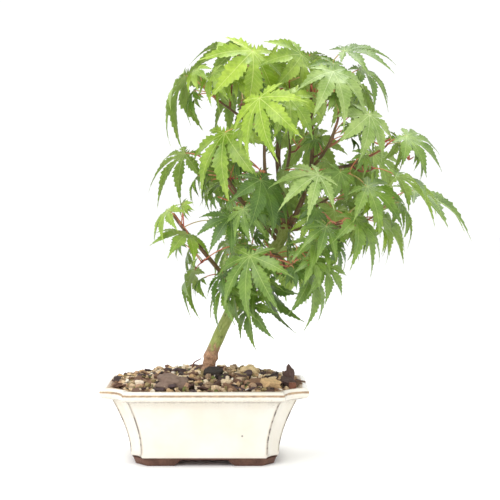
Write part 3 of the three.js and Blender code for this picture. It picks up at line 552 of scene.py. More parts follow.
dark_soil, tree, shader = new_finish("dark_soil", 0.95)
spot = here(tree)
earth = blended(tree, clouds(tree, spot, 260.0), screen(46, 34, 26), screen(88, 68, 50))
earth = blended(tree, clouds(tree, spot, 620.0, 0.58, 0.7), earth, screen(150, 126, 98))
tree.links.new(earth, shader.inputs["Base Color"])
bumped(tree, shader, clouds(tree, spot, 480.0, 0.1, 0.9), 1.0, 0.003)

SOIL_GAP = CLEARANCE + 0.5
edge_ring = inner_ring(SOIL_EDGE, SOIL_GAP)[:, :3]
bed_rings = [inner_ring(z, SOIL_GAP)[:, :3] for z in (FLOOR_TOP + CLEARANCE, 40, 62, SOIL_EDGE)]
for share in np.linspace(0.03, 0.93, 22):
    rise = SOIL_RISE * math.sin(share * math.pi / 2) ** 0.8
    ring = mix(edge_ring, TRUNK_FOOT, share)
    ring[:, 2] = SOIL_EDGE + 1 + rise - share
    bump = np.array([noise.noise(Vector((x / BUMP_SIZE, y / BUMP_SIZE, 3.7))) for x, y, _ in ring])
    ring[:, 2] = np.minimum(ring[:, 2] + bump * BUMP_HEIGHT, TRUNK_FOOT[2] + 0.6)
    bed_rings.append(ring)
points, walls, fans = skin(bed_rings)
bed = new_piece("soil_bed", points, [walls, fans], [dark_soil])
settle(bed, "soil", "soil")

# %% [markdown]
# ## Pebbles
# Broken pumice and bark have dents and a few flat faces. Each pebble could be sculpted by hand, but a ball
# that noise dents and that is cut off flat does as well. A small ball has 80 faces, because it is repeated
# many hundreds of times, and a large one has more, for the few pieces that catch the eye.

# %% Ball
def ball(halvings):
    """Corners and faces of a ball: a solid of 20 triangles, with its edges halved again and again."""
    golden = (1 + 5 ** 0.5) / 2
    corners = [(-1, golden, 0), (1, golden, 0), (-1, -golden, 0), (1, -golden, 0),
               (0, -1, golden), (0, 1, golden), (0, -1, -golden), (0, 1, -golden),
               (golden, 0, -1), (golden, 0, 1), (-golden, 0, -1), (-golden, 0, 1)]
    faces = [(0, 11, 5), (0, 5, 1), (0, 1, 7), (0, 7, 10), (0, 10, 11), (1, 5, 9), (5, 11, 4), (11, 10, 2),
             (10, 7, 6), (7, 1, 8), (3, 9, 4), (3, 4, 2), (3, 2, 6), (3, 6, 8), (3, 8, 9), (4, 9, 5),
             (2, 4, 11), (6, 2, 10), (8, 6, 7), (9, 8, 1)]
    corners = [np.array(corner) / np.linalg.norm(corner) for corner in corners]
    for _ in range(halvings):
        halves, finer = {}, []
        for trio in faces:
            middles = []
            for pair in zip(trio, trio[1:] + trio[:1]):
                key = tuple(sorted(pair))
                if key not in halves:
                    middle = corners[pair[0]] + corners[pair[1]]
                    corners.append(middle / np.linalg.norm(middle))
                    halves[key] = len(corners) - 1
                middles.append(halves[key])
            finer += [(trio[0], middles[0], middles[2]), (trio[1], middles[1], middles[0]),
                      (trio[2], middles[2], middles[1]), tuple(middles)]
        faces = finer
    return np.array(corners), np.array(faces)


SMALL_BALL, LARGE_BALL = ball(1), ball(3)
print("faces of the balls:", len(SMALL_BALL[1]), len(LARGE_BALL[1]))

# %% Pebble shapes
def lump(corners, size, seed, dent=0.75, flat=0.74):
    """A dented ball, cut off flat where it would bulge, as broken grains are."""
    shift = Vector((seed * 7.3, seed * 1.9, 0))
    dents = np.array([1 + dent * noise.noise(Vector(corner) * 1.6 + shift)
                      + 0.3 * dent * noise.noise(Vector(corner) * 5 + shift) for corner in corners])
    return np.clip(corners * dents[:, None], -flat, flat) * 0.62 * np.array(size)


def pebble_box(name, shapes):
    box = bpy.data.collections.new(name)
    corners, faces = SMALL_BALL
    for number, shape in enumerate(shapes):
        mesh = bpy.data.meshes.new(f"{name}_{number}")
        mesh.from_pydata(lump(corners, shape, number + len(name)).tolist(), [], faces.tolist())
        box.objects.link(bpy.data.objects.new(mesh.name, mesh))
    return box


round_pebbles = pebble_box("round_pebbles", [(1, 0.85, 0.7), (1.2, 0.7, 0.6), (0.9, 0.9, 0.55),
                                             (1.3, 0.6, 0.6), (0.7, 0.6, 0.5), (1, 0.5, 0.7)])
flat_chips = pebble_box("flat_chips", [(1.3, 0.6, 0.25), (1.5, 0.5, 0.35), (1, 0.8, 0.22),
                                       (1.8, 0.45, 0.3), (1.2, 0.9, 0.4)])

# %% [markdown]
# ## Grains by Geometry Nodes
# Some 1,500 grains lie on the bed, so they are scattered by a node tree and not placed by hand. Points
# are spread over the surface no closer than a grain's size, a pebble is picked for each, and it is
# turned and sized at random from a fixed seed. Each grain keeps a random number called tone, which the
# material turns into its own shade. The tree ends by making the grains real and giving them a
# material, because an exporter drops instances.

# %% Scattering tree
HALF_TURN, THICKEST = 3.14, 90000.0
scatter, given = new_group(
    "Scattered grains", "GeometryNodeTree",
    [("Geometry", "Geometry"), ("Pebbles", "Collection"), ("Spacing", "Float"), ("Smallest", "Float"),
     ("Largest", "Float"), ("Lift", "Float"), ("Tilt", "Float"), ("Seed", "Int"), ("Finish", "Material")],
    [("Geometry", "Geometry")])
spread = add(scatter, "GeometryNodeDistributePointsOnFaces",
             {"Mesh": given["Geometry"], "Distance Min": given["Spacing"], "Density Max": THICKEST,
              "Seed": given["Seed"]}, distribute_method="POISSON")
lift = add(scatter, "FunctionNodeRandomValue", {2: 0.0, 3: given["Lift"], "Seed": given["Seed"]})
rise = add(scatter, "ShaderNodeCombineXYZ", {"Z": lift.outputs[1]})
raised = add(scatter, "GeometryNodeSetPosition",
             {"Geometry": spread.outputs["Points"], "Offset": rise.outputs[0]})
back = sums(scatter, "MULTIPLY", given["Tilt"], -1.0)
low_turn = add(scatter, "ShaderNodeCombineXYZ", {"X": back, "Y": back, "Z": -HALF_TURN})
high_turn = add(scatter, "ShaderNodeCombineXYZ", {"X": given["Tilt"], "Y": given["Tilt"], "Z": HALF_TURN})
turned = add(scatter, "FunctionNodeRandomValue",
             {0: low_turn.outputs[0], 1: high_turn.outputs[0], "Seed": given["Seed"]},
             data_type="FLOAT_VECTOR")
sized = add(scatter, "FunctionNodeRandomValue",
            {2: given["Smallest"], 3: given["Largest"], "Seed": given["Seed"]})
picked = add(scatter, "GeometryNodeCollectionInfo",
             {"Collection": given["Pebbles"], "Separate Children": True, "Reset Children": True})
laid = add(scatter, "GeometryNodeInstanceOnPoints",
           {"Points": raised.outputs[0], "Instance": picked.outputs[0], "Pick Instance": True,
            "Rotation": turned.outputs[0], "Scale": sized.outputs[1]})
tone_seed = sums(scatter, "ADD", given["Seed"], 9.0)
tone = add(scatter, "FunctionNodeRandomValue", {2: 0.0, 3: 1.0, "Seed": tone_seed})
kept = add(scatter, "GeometryNodeStoreNamedAttribute",
           {"Geometry": laid.outputs[0], "Name": "tone", "Value": tone.outputs[1]}, domain="INSTANCE")
real = add(scatter, "GeometryNodeRealizeInstances", {"Geometry": kept.outputs[0]})
finished = add(scatter, "GeometryNodeSetMaterial",
               {"Geometry": real.outputs[0], "Material": given["Finish"]})
add(scatter, "NodeGroupOutput", {"Geometry": finished.outputs[0]})
inputs_of = {item.name: item.identifier for item in scatter.interface.items_tree
             if item.item_type == "SOCKET" and item.in_out == "INPUT"}
print("inputs of the tree:", list(inputs_of))

# %% [markdown]
# The tree works as a modifier on a copy of the surface. Its inputs are set by their identifiers, and
# the evaluated object gives the plain mesh that is kept.

# %% Scatter on a surface
def scattered(name, surface, **values):
    carrier = bpy.data.objects.new(name, surface.copy())
    bpy.context.scene.collection.objects.link(carrier)
    modifier = carrier.modifiers.new("grains", "NODES")
    modifier.node_group = scatter
    for key, value in values.items():
        modifier[inputs_of[key]] = value
    ready = carrier.evaluated_get(bpy.context.evaluated_depsgraph_get())
    mesh = bpy.data.meshes.new_from_object(ready)
    carrier.modifiers.clear()
    old, carrier.data = carrier.data, mesh
    bpy.data.meshes.remove(old)
    mesh.name = name
    return carrier


# %% [markdown]
# ## The three kinds of grain
# Pumice is cream to tan and dusty, bark is nearly black with a purple cast, and grit is olive. Each
# kind has one material that runs through its shades by the grain's tone, with fine clouds over it.

# %% Grain finishes
def grain_finish(name, shades, roughness):
    material, tree, shader = new_finish(name, roughness)
    spot = here(tree)
    ramp = add(tree, "ShaderNodeValToRGB", {"Fac": mark_of(tree, "tone")})
    ramp.color_ramp.interpolation = "CONSTANT"
    while len(ramp.color_ramp.elements) < len(shades):
        ramp.color_ramp.elements.new(0.5)
    for number, shade in enumerate(shades):
        ramp.color_ramp.elements[number].position = number / len(shades)
        ramp.color_ramp.elements[number].color = screen(*shade)
    colour = laid_over(tree, ramp.outputs[0], clouds(tree, spot, 300.0, 0.45, 0.7), 0.4, 84, 66, 50)
    tree.links.new(colour, shader.inputs["Base Color"])
    bumped(tree, shader, clouds(tree, spot, 900.0, 0.1, 0.9), 0.9, 0.0008)
    return material


pumice = grain_finish("pumice", [(236, 218, 188), (212, 186, 152), (246, 236, 218), (200, 166, 122),
                                 (164, 138, 110), (226, 200, 160), (148, 130, 88), (182, 146, 116)], 0.9)
bark_chip = grain_finish("bark_chips", [(86, 62, 54), (58, 44, 42), (112, 82, 66), (78, 62, 64),
                                        (130, 98, 74)], 0.85)
grit = grain_finish("grit", [(142, 128, 84), (108, 98, 70), (186, 164, 122), (102, 86, 68),
                             (112, 120, 62), (214, 196, 160)], 0.9)

# %% [markdown]
# ## Laying the grains
# Poured soil lies in a loose mix. Here it is round pumice, flat bark chips, pumice flakes and fine grit,
# and the last three are lifted more, as if they lay on the first. A physics simulation could drop
# them, but a scatter with a fixed seed is quick and the same each time.

# %% Lay the grains
top_rings = np.array(bed_rings[3:])
top_faces = wall_faces(*top_rings.shape[:2])
top_mesh = bpy.data.meshes.new("bed_top")
top_mesh.from_pydata(placed(top_rings.reshape(-1, 3)).tolist(), [], top_faces.tolist())
for name, values in {
    "pumice_grains": {"Pebbles": round_pebbles, "Spacing": 0.0056, "Smallest": 0.0045, "Largest": 0.0095,
                      "Lift": 0.0012, "Tilt": 1.5, "Seed": 3, "Finish": pumice},
    "bark_chip_grains": {"Pebbles": flat_chips, "Spacing": 0.0066, "Smallest": 0.006, "Largest": 0.013,
                         "Lift": 0.0026, "Tilt": 0.5, "Seed": 17, "Finish": bark_chip},
    "pumice_flakes": {"Pebbles": flat_chips, "Spacing": 0.0075, "Smallest": 0.004, "Largest": 0.008,
                      "Lift": 0.0034, "Tilt": 0.9, "Seed": 41, "Finish": pumice},
    "grit_grains": {"Pebbles": round_pebbles, "Spacing": 0.0048, "Smallest": 0.002, "Largest": 0.0048,
                    "Lift": 0.0032, "Tilt": 1.5, "Seed": 29, "Finish": grit},
}.items():
    settle(scattered(name, top_mesh, **values), "soil")

# %% [markdown]
# ## Pieces that stand out
# A few pieces catch the eye in any pot. Here they are a broad plate of bark in front of the trunk, a chip
# stuck upright at the right, an orange-tan chunk, a round cream grain, and a dark lump of painted shadow
# at the foot of the trunk. They are lumps too, and have more faces because there are only a few.

# %% Larger pieces
# Each row is a middle, a size, a turn, how far from the middle it is cut off flat, and a shade.
LARGE_PIECES = [
    ((-31, -49, 78.5), (25, 18, 13), (26, 6, 6), 1, (134, 112, 98)),
    ((82, -20, 80.5), (8, 4, 20), (0, -6, 20), 2, (92, 70, 64)),
    ((79, -35, 79), (15, 10, 5), (20, 12, -30), 0.8, (78, 60, 56)),
    ((63, -48, 77.5), (19, 12, 10), (20, 5, 15), 0.8, (208, 174, 126)),
    ((84, -44, 76.5), (7, 6, 6), (0, 0, 0), 0.8, (122, 76, 58)),
    ((43, -8, 84.5), (15, 11, 10), (0, 5, 0), 2, (232, 206, 158)),
    # A dark lump of painted shadow, for the shaded hollow at the foot of the trunk.
    ((8, -20, 84.6), (19, 14, 9), (18, 0, -6), 0.8, (46, 40, 36)),
    ((22, -46, 79), (12, 8, 7), (0, 8, 30), 0.8, (228, 206, 170)),
    ((-62, -40, 78), (9, 7, 6), (0, 6, 0), 0.8, (240, 226, 204)),
]
large_finish = grain_finish("large_pieces", [row[-1] for row in LARGE_PIECES], 0.85)
points, faces, tones = [], [], []
for number, (middle, size, turn, flat, _) in enumerate(LARGE_PIECES):
    shape = lump(LARGE_BALL[0], size, 60 + number, 0.5, flat)
    turning = Euler([math.radians(angle) for angle in turn]).to_matrix()
    faces.append(LARGE_BALL[1] + sum(map(len, points)))
    points.append(shape @ np.array(turning).T + middle)
    tones.append(np.full(len(shape), (number + 0.5) / len(LARGE_PIECES)))
large_pieces = new_piece("large_soil_pieces", np.vstack(points), [np.vstack(faces)], [large_finish],
                         marks={"tone": np.concatenate(tones)})
settle(large_pieces, "soil")

# %% [markdown]
# ## Limbs
# Trunk and boughs are smooth curves through a few points, drawn by the same rule as the CAD model's, so
# they follow its solids. Each is a tube whose radius tapers and swells. The trunk leans to the right
# from a flared foot. Most boughs leave it at the knuckle or spring from the two leaders above.

# %% Curves
class Bend:
    """A smooth curve through points, with a tension of a half."""

    def __init__(self, points):
        self.points = np.array(points, float)
        first = 2 * self.points[0] - self.points[1]
        last = 2 * self.points[-1] - self.points[-2]
        self.held = np.vstack([first, self.points, last])

    def at(self, t):
        t = np.atleast_1d(np.asarray(t, float))
        spans = len(self.points) - 1
        p = spans * t
        span = np.minimum(np.floor(p).astype(int), spans - 1)
        w = (p - span)[:, None]
        a, b, c, d = (self.held[span + k] for k in range(4))
        t0, t1 = 0.5 * (c - a), 0.5 * (d - b)
        return b + t0 * w + (-3 * b + 3 * c - 2 * t0 - t1) * w ** 2 + (2 * b - 2 * c + t0 + t1) * w ** 3

    def way(self, t):
        t = np.atleast_1d(np.asarray(t, float))
        run = self.at(np.minimum(t + 0.0001, 1)) - self.at(np.maximum(t - 0.0001, 0))
        return run / np.linalg.norm(run, axis=1)[:, None]

    def length(self):
        return float(np.linalg.norm(np.diff(self.at(np.linspace(0, 1, 201)), axis=0), axis=1).sum())


class Arch(Bend):
    """A curve from a start to an end that a third point pulls towards itself."""

    def __init__(self, start, pull, end):
        self.start, self.pull, self.end = (np.array(p, float) for p in (start, pull, end))

    def at(self, t):
        t = np.atleast_1d(np.asarray(t, float))[:, None]
        return (1 - t) ** 2 * self.start + 2 * (1 - t) * t * self.pull + t ** 2 * self.end

# %% [markdown]
# Rings stand square to the curve, and their axis is carried from one to the next, so that a tube doesn't
# twist. A curve's bevel does this too, but here the radius may change along the way and round the ring,
# which gives the bark its relief.

# %% Rings along a curve
def rings_along(curve, radius_at, sides, steps, flat_foot=False):
    t = np.linspace(0, 1, steps + 1)
    centres, ways = curve.at(t), curve.way(t)
    turn = 2 * np.pi * np.arange(sides) / sides
    axis, rings = None, []
    for k in range(steps + 1):
        along = np.array([0, 0, 1.0]) if flat_foot and k == 0 else ways[k]
        if axis is None:
            axis = np.array([1.0, 0, 0]) if abs(along[0]) < 0.8 else np.array([0, 1.0, 0])
        axis = axis - along * axis.dot(along)
        axis /= np.linalg.norm(axis)
        across = np.cross(along, axis)
        radius = np.broadcast_to(radius_at(t[k], turn), turn.shape)[:, None]
        rings.append(centres[k] + radius * (np.cos(turn)[:, None] * axis + np.sin(turn)[:, None] * across))
    return np.array(rings)


# %% [markdown]
# Each row of the table is a limb: its radius at the foot and at the tip, and the points of its way. The
# trunk has three swellings as well, the root, the ring above the old bark and the knuckle, each with its
# place on the way, its width and its height.

# %% Limbs of the tree
def limb(foot, tip, *way, swells=()):
    return {"foot": foot, "tip": tip, "swells": swells, "curve": Bend(way)}


LIMBS = {
    "trunk": limb(5.7, 4.9, TRUNK_FOOT, (4.6, 3, 98), (10.7, 2, 114), (24.8, 2, 143.7), (38.6, 2, 166.4),
                  (52.4, 2, 185.6), (65.8, 1, 202.5), (74.5, 0, 216), (79.5, 0, 229),
                  swells=[(0, 0.035, 1.9), (0.13, 0.03, 1.3), (0.96, 0.05, 1.3)]),
    "leader": limb(4.1, 1.9, (79.8, 0, 229.6), (75.9, 2, 246), (74, 4, 263), (71, 6, 292), (72, 6, 322),
                   (69, 4, 348)),
    "second_leader": limb(2.9, 1.5, (82, -1, 226), (93.3, -4, 250), (100.1, -5, 271), (104, -4, 294),
                          (104, 0, 329), (103, 2, 358)),
    "upper_right_bough": limb(2.3, 1.5, (99.5, -5, 270), (111, -10, 279.5), (126, -14, 284),
                              (141, -18, 287), (158, -22, 295)),
    "lower_right_bough": limb(2.6, 1.6, (79, -2, 224), (98, -12, 226), (113, -20, 226), (128, -26, 227)),
    "cut_bough": limb(2.5, 1.9, (33, 2, 158), (21, -4, 174.7), (-0.4, -8, 201), (-17.8, -11, 221),
                      (-31.2, -14, 239.5)),
    "front_bough": limb(2.2, 1.3, (76.5, 1, 242), (66, -18, 258), (58, -38, 280), (57, -46, 316),
                        (55, -48, 341)),
    "front_right_bough": limb(1.9, 1.3, (102.5, -4.5, 284), (110, -20, 292), (118, -42, 306),
                              (124, -50, 322)),
    "low_front_bough": limb(2, 1.3, (62, 1, 197), (66, -14, 200), (72, -32, 199), (76, -44, 192)),
    "low_right_bough": limb(2, 1.3, (54, 2, 187), (72, -4, 186), (88, -8, 190), (101, -10, 193)),
    "left_bough": limb(2, 1.2, (71.5, 4, 290), (55, -2, 315), (34, -8, 334), (16, -14, 347)),
    "left_mid_bough": limb(2.2, 1.3, (71, 0, 212), (56, -8, 231), (40, -15, 247), (27, -20, 266),
                           (16, -22, 284)),
    "back_bough": limb(2, 1.3, (73.8, 4, 264), (80, 26, 282), (84, 44, 306), (82, 50, 334)),
    "back_left_bough": limb(2.2, 1.3, (74, 0, 216), (62, 16, 230), (44, 36, 242), (28, 48, 258)),
    "back_right_bough": limb(2.2, 1.3, (79.5, 1, 225), (96, 20, 238), (116, 38, 250), (136, 48, 262)),
    "back_low_bough": limb(2, 1.3, (48, 2, 179), (52, 18, 186), (58, 38, 190), (64, 52, 188)),
}


def limb_radius(given, t):
    swells = sum(high * math.exp(-(((t - place) / wide) ** 2)) for place, wide, high in given["swells"])
    return mix(given["foot"], given["tip"], t) + swells


print("limbs:", len(LIMBS), "trunk length:", round(LIMBS["trunk"]["curve"].length(), 1))

# %% [markdown]
# ## Bark
# Near the soil the bark is old: tan, cracked and rough. Above the swollen ring it is young, smooth and
# olive green with fine paler stripes, and the boughs are darker and browner. The tube's UVs run round
# and along it, so the stripes follow the wood. The roughness of the old bark is real relief in the
# mesh, worked out as noise that fades above the ring.

# %% Bark finishes
def bark_finish(name, old, young, stripe, roughness):
    material, tree, shader = new_finish(name, roughness)
    spot, age = here(tree), mark_of(tree, "age")
    grain = add(tree, "ShaderNodeUVMap", uv_map="UVMap").outputs[0]
    stretched = add(tree, "ShaderNodeMapping", {"Vector": grain, "Scale": (9.0, 1.6, 1.0)}).outputs[0]
    streaks = clouds(tree, stretched, 2.2, 0.42, 0.62)
    patchy = sums(tree, "MULTIPLY", clouds(tree, spot, 200.0), 0.3)
    aged = ranged(tree, sums(tree, "ADD", age, patchy), 0.55, 0.75)
    fresh = laid_over(tree, screen(*young), streaks, 0.55, *stripe)
    fresh = blended(tree, clouds(tree, spot, 120.0, 0.56, 0.68), fresh, toned(young, 0.7))
    worn = blended(tree, clouds(tree, spot, 260.0), screen(*old), toned(old, 1.32))
    cracks = add(tree, "ShaderNodeTexVoronoi", {"Vector": stretched, "Scale": 4.0},
                 feature="DISTANCE_TO_EDGE")
    split = ranged(tree, cracks.outputs["Distance"], 0.0, 0.12, 1.0, 0.0)
    worn = blended(tree, sums(tree, "MULTIPLY", split, 0.6), worn, toned(old, 0.5))
    tree.links.new(blended(tree, aged, fresh, worn), shader.inputs["Base Color"])
    furrows = sums(tree, "MULTIPLY", split, aged)
    height = sums(tree, "SUBTRACT", clouds(tree, stretched, 4.0, 0.1, 0.9), furrows)
    bumped(tree, shader, height, 0.6, 0.0006)
    return material


trunk_bark = bark_finish("trunk_bark", (158, 122, 94), (136, 148, 70), (182, 188, 116), 0.6)
bough_bark = bark_finish("bough_bark", (112, 84, 62), (96, 74, 48), (142, 112, 70), 0.55)


# %% [markdown]
# The relief is in the radius itself: lobes at the root, coarse and fine noise that is strongest on the old
# bark, and a collar where a bough starts. A Displace modifier could push the bark out as well, but a
# formula can fade along the limb and keeps its flat foot flat.

# %% Relief of the bark
PATTERN_LENGTH, BARK_THICKNESS, OLD_TO = 20, 0.45, 0.11


def tube(curve, radius_at, sides, steps, flat_foot=False):
    """A skin along a curve, and its UVs: once round it, and once for each 20 mm of its length."""
    points, walls, fans = skin(rings_along(curve, radius_at, sides, steps, flat_foot))
    length = curve.length()
    u = np.arange(sides) / sides
    corners = []
    for r in range(steps):
        low, high = length * r / steps / PATTERN_LENGTH, length * (r + 1) / steps / PATTERN_LENGTH
        for s in range(sides):
            corners += [(u[s], low), (u[s] + 1 / sides, low), (u[s] + 1 / sides, high), (u[s], high)]
    return points, walls, fans, np.array(corners), np.array([(0.5, 0.0)] * (3 * len(fans)))


def ripples(turn, t, across, along, shift=0):
    """Noise round a limb, one value for each turn, at the share t of its way."""
    return np.array([noise.noise(Vector((math.cos(a) * across + shift, math.sin(a) * across, t * along)))
                     for a in turn])


def trunk_radius(t, turn):
    old = math.exp(-((max(t - OLD_TO, 0)) / 0.05) ** 2)
    lobes = 1.1 * np.cos(3 * turn + 0.6) * math.exp(-((t / 0.045) ** 2))
    relief = ripples(turn, t, 1.7, 34) * mix(0.3, 0.75, old)
    fine = ripples(turn, t, 5, 90) * mix(0.08, 0.4, old)
    return limb_radius(LIMBS["trunk"], t) + BARK_THICKNESS + lobes + relief + fine


def bough_radius(given, shift):
    def radius_at(t, turn):
        collar = 0.5 * math.exp(-((t / 0.04) ** 2))
        return limb_radius(given, t) - 0.1 + collar + 0.22 * ripples(turn, t, 1.2, 16, shift)
    return radius_at


# %% Trunk and boughs
OLD_BELOW, AGE_FADE = 88, 30
points, walls, fans, uv, fan_uv = tube(LIMBS["trunk"]["curve"], trunk_radius, 40, 170, flat_foot=True)
age = np.clip(1.15 - (points[:, 2] - OLD_BELOW) / AGE_FADE, 0, 1)
trunk = new_piece("trunk_bark_relief", points, [walls, fans], [trunk_bark], uv=np.vstack([uv, fan_uv]),
                  marks={"age": age})
settle(trunk, "bark", "trunk")

skins, wall_uvs, fan_uvs = [], [], []
boughs = [name for name in LIMBS if name != "trunk"]
for number, name in enumerate(boughs):
    *bough_skin, uv, fan_uv = tube(LIMBS[name]["curve"], bough_radius(LIMBS[name], number * 9), 12, 60)
    skins.append(bough_skin)
    wall_uvs.append(uv)
    fan_uvs.append(fan_uv)
points, walls, fans = joined(skins)
age = np.clip((300 - points[:, 2]) / 500, 0, 1)
bough_wood = new_piece("bough_bark_relief", points, [walls, fans], [bough_bark],
                       uv=np.vstack(wall_uvs + fan_uvs), marks={"age": age})
settle(bough_wood, "twig", *boughs)

# %% [markdown]
# ## How the crown grows
# Each mass of foliage is a shoot: a stem leaves its limb and ends in a leading leaf, and further leaves
# try places round the stem's nodes until they find room. The rule and its seeds are the CAD model's, so
# the same leaves stand in the same places. A grid of small cells remembers what is taken, and a leaf
# that would touch another, or would grow out of the crown's outline or into one of its open places, is
# passed over.

# %% The rule's sizes
CELL, HALF_GRID, SAMPLE_STEP, TRIES, ROOM, ROOTED, GUARD = 2.8, 200, 1.9, 160, 90, 9, 2
PETIOLE_LENGTH, BLADE_BEND = 33, 0.8
SPREAD, WIDER_SPREADS, CLIMBS, STEEPER = 45, (30, 170), (-12, 32), 25
REACHES, DROOPS, LARGEST_LEAF, SHRUNK = (0.6, 1.2), (34, 68), 62, 0.66
PUSHES = [0, 4, -4, 8, -8, 12, -12, 16, -16, 20, -20, 24, -24, 28, 32, 36, 40, 44, 48]
BOWS = [0, 0.1, -0.1, 0.2, -0.2, 0.3]
LOBES = [(-116, 0.42, 0.08), (-74, 0.76, 0.12), (-36, 0.95, 0.14), (0, 1, 0.15), (36, 0.95, 0.14),
         (74, 0.76, 0.12), (116, 0.42, 0.08)]
WIDEST = 0.48
TREE_AXIS = np.array([88.0, 4, 250])
OUTLINE = np.array([(100, 40, 60), (125, -20, 120), (150, -22, 150), (180, -28, 160), (205, -50, 205),
                    (235, -60, 262), (262, -60, 240), (290, -58, 238), (320, -50, 215), (352, -46, 165),
                    (385, -24, 192), (400, -10, 188), (416, 62, 125)], float)
SKY = [(2, 322, 16, 12), (-8, 318, 10, 14), (50, 296, 8, 11), (65, 294, 5, 9), (90, 296, 8, 9),
       (120, 322, 9, 9), (132, 300, 11, 10), (2, 190, 12, 12), (-6, 232, 8, 10), (74, 200, 5, 6),
       (184, 270, 16, 8)]
print("open places:", len(SKY))

# %% [markdown]
# The table gives each mass its limb, the share of the limb's way where it leaves, the leading leaf's
# hub, the way it turns, droops and rolls, its size, and the number of leaves. The last word is the
# tint of its leaves: the young ones at the top are lemon green, the deep tint of the low, inner and back
# masses is painted shade, and the palest tint is a painted sheen of the bright sky.

# %% Masses of foliage
MASSES = [
    ("top_front", "leader", 1, (45.8, -44, 393.6), -81, 52, 56, 73, 4, "lemon"),
    ("top_left", "left_bough", 1, (-18.5, -30, 371.5), 139, 51, -17, 74, 3, "bright"),
    ("top", "leader", 0.93, (92.8, -25, 391.9), -108, 30, 36, 53, 4, "bright"),
    ("top_back_left", "left_bough", 0.85, (31.7, 6, 399.7), -154, -15, 11, 58, 4, "lemon"),
    ("top_back_right", "back_bough", 0.9, (104, 36, 398), 70, 20, 0, 56, 4, "bright"),
    ("top_right", "second_leader", 1, (135.2, -5, 398.2), 10, -12, 0, 58, 4, "middle"),
    ("top_far_right", "second_leader", 0.9, (153.6, 10, 381.5), -14, 32, -27, 50, 3, "middle"),
    ("upper_front", "front_bough", 1, (52.3, -74, 347.8), -92, 50, -21, 62, 4, "lemon"),
    ("upper_right", "front_right_bough", 1, (120.9, -60, 373.3), -62, 40, 0, 56, 4, "pale"),
    ("right_front", "front_right_bough", 0.6, (155.2, -60, 332.9), -93, 52, -2, 49, 4, "pale"),
    ("far_right", "upper_right_bough", 1, (191.5, -45, 313.9), -11, 23, -19, 49, 4, "middle"),
    ("right_end", "lower_right_bough", 1, (206.8, 22, 261.7), 23, 6, -5, 79, 4, "middle"),
    ("right", "upper_right_bough", 0.75, (185.1, -22, 276.3), -21, 14, 24, 65, 4, "middle"),
    ("right_middle", "upper_right_bough", 0.5, (153.3, -56, 266.2), -22, 27, -17, 54, 4, "middle"),
    ("right_low", "lower_right_bough", 0.8, (142.3, -66, 236.4), -30, 45, 8, 55, 3, "middle"),
    ("right_hanging", "lower_right_bough", 0.55, (171.2, -8, 234.5), -42, 19, 12, 55, 3, "middle"),
    ("centre_left", "front_bough", 0.5, (53.4, -70, 272.2), -41, 50, 44, 56, 4, "deep"),
    ("centre_right", "second_leader", 0.45, (107.3, -66, 276.9), -141, 19, -1, 51, 4, "pale"),
    ("left", "front_bough", 0.8, (20.1, -60, 316.1), -110, 55, 12, 70, 4, "bright"),
    ("far_left", "left_mid_bough", 1, (-19.2, -25, 297.8), 158, 34, -31, 58, 4, "bright"),
    ("left_middle", "left_mid_bough", 0.8, (22.6, -40, 272.4), 172, 18, 8, 41, 3, "middle"),
    ("left_low", "left_mid_bough", 0.45, (24.6, -50, 237.4), -123, 33, 41, 42, 3, "deep"),
    ("cut_bough_end", "cut_bough", 0.86, (-16.3, -34, 220.8), -105, 4, 58, 45, 3, "bright"),
    ("lowest_left", "cut_bough", 0.45, (-10.8, -18, 184.4), -143, 52, -37, 51, 3, "middle"),
    ("low_left", "cut_bough", 0.3, (20.5, -34, 173.9), -149, 52, 0, 48, 3, "middle"),
    ("low_front", "low_front_bough", 0.7, (43.5, -70, 201.6), -118, 58, 0, 62, 4, "middle"),
    ("lowest", "trunk", 0.45, (44.5, -24, 151.9), -120, 66, 0, 46, 3, "middle"),
    ("low_middle", "low_right_bough", 0.4, (62, -10, 170.2), -28, 84, -12, 57, 3, "deep"),
    ("centre_low", "low_front_bough", 1, (105.9, -60, 215.2), -94, 23, 5, 39, 3, "middle"),
    ("low_right", "low_right_bough", 1, (100.2, -38, 184.3), -56, 54, 39, 56, 4, "middle"),
    ("middle_right", "second_leader", 0.6, (148, 14, 338), 4, 42, 0, 50, 4, "middle"),
    ("back_top", "back_bough", 1, (64, 60, 388), 100, 40, 0, 64, 4, "bright"),
    ("back_top_right", "second_leader", 0.8, (140, 56, 370), 50, 40, 0, 60, 4, "bright"),
    ("back_top_left", "left_bough", 0.6, (34, 52, 368), 130, 45, 0, 60, 4, "bright"),
    ("back_right", "back_right_bough", 1, (170, 60, 300), 35, 45, 0, 62, 4, "middle"),
    ("back_middle", "back_bough", 0.6, (104, 74, 318), 80, 50, 0, 62, 4, "middle"),
    ("back_left", "back_left_bough", 1, (16, 62, 300), 125, 50, 0, 60, 4, "middle"),
    ("back_centre", "back_left_bough", 0.7, (58, 70, 256), 95, 55, 0, 58, 3, "deep"),
    ("back_right_low", "back_right_bough", 0.7, (130, 64, 240), 65, 55, 0, 60, 4, "middle"),
    ("back_low", "back_low_bough", 1, (76, 70, 202), 85, 60, 0, 56, 4, "deep"),
    ("back_left_low", "back_low_bough", 0.6, (24, 46, 212), 140, 58, 0, 54, 4, "middle"),
]
print("masses:", len(MASSES))


# %% [markdown]
# ## Where a leaf lies
# A leaf has a frame of its own: its hub, the way that its middle lobe runs, the way that its upper face
# looks, and its side. The face turns to the light, up and away from the middle of the tree. A place on
# the blade is given by its lobe's angle, how far along the lobe it is and how far beside it, and is bent
# over the leaf's length before it is put in the frame.

# %% Leaf frames and blades
def seeded(seed):
    state = seed

    def draw():
        nonlocal state
        state = (1664525 * state + 1013904223) % 4294967296
        return state / 4294967296
    return draw


def heading(turn, rise):
    turn, rise = math.radians(turn), math.radians(rise)
    return np.array([math.cos(turn) * math.cos(rise), math.sin(turn) * math.cos(rise), math.sin(rise)])


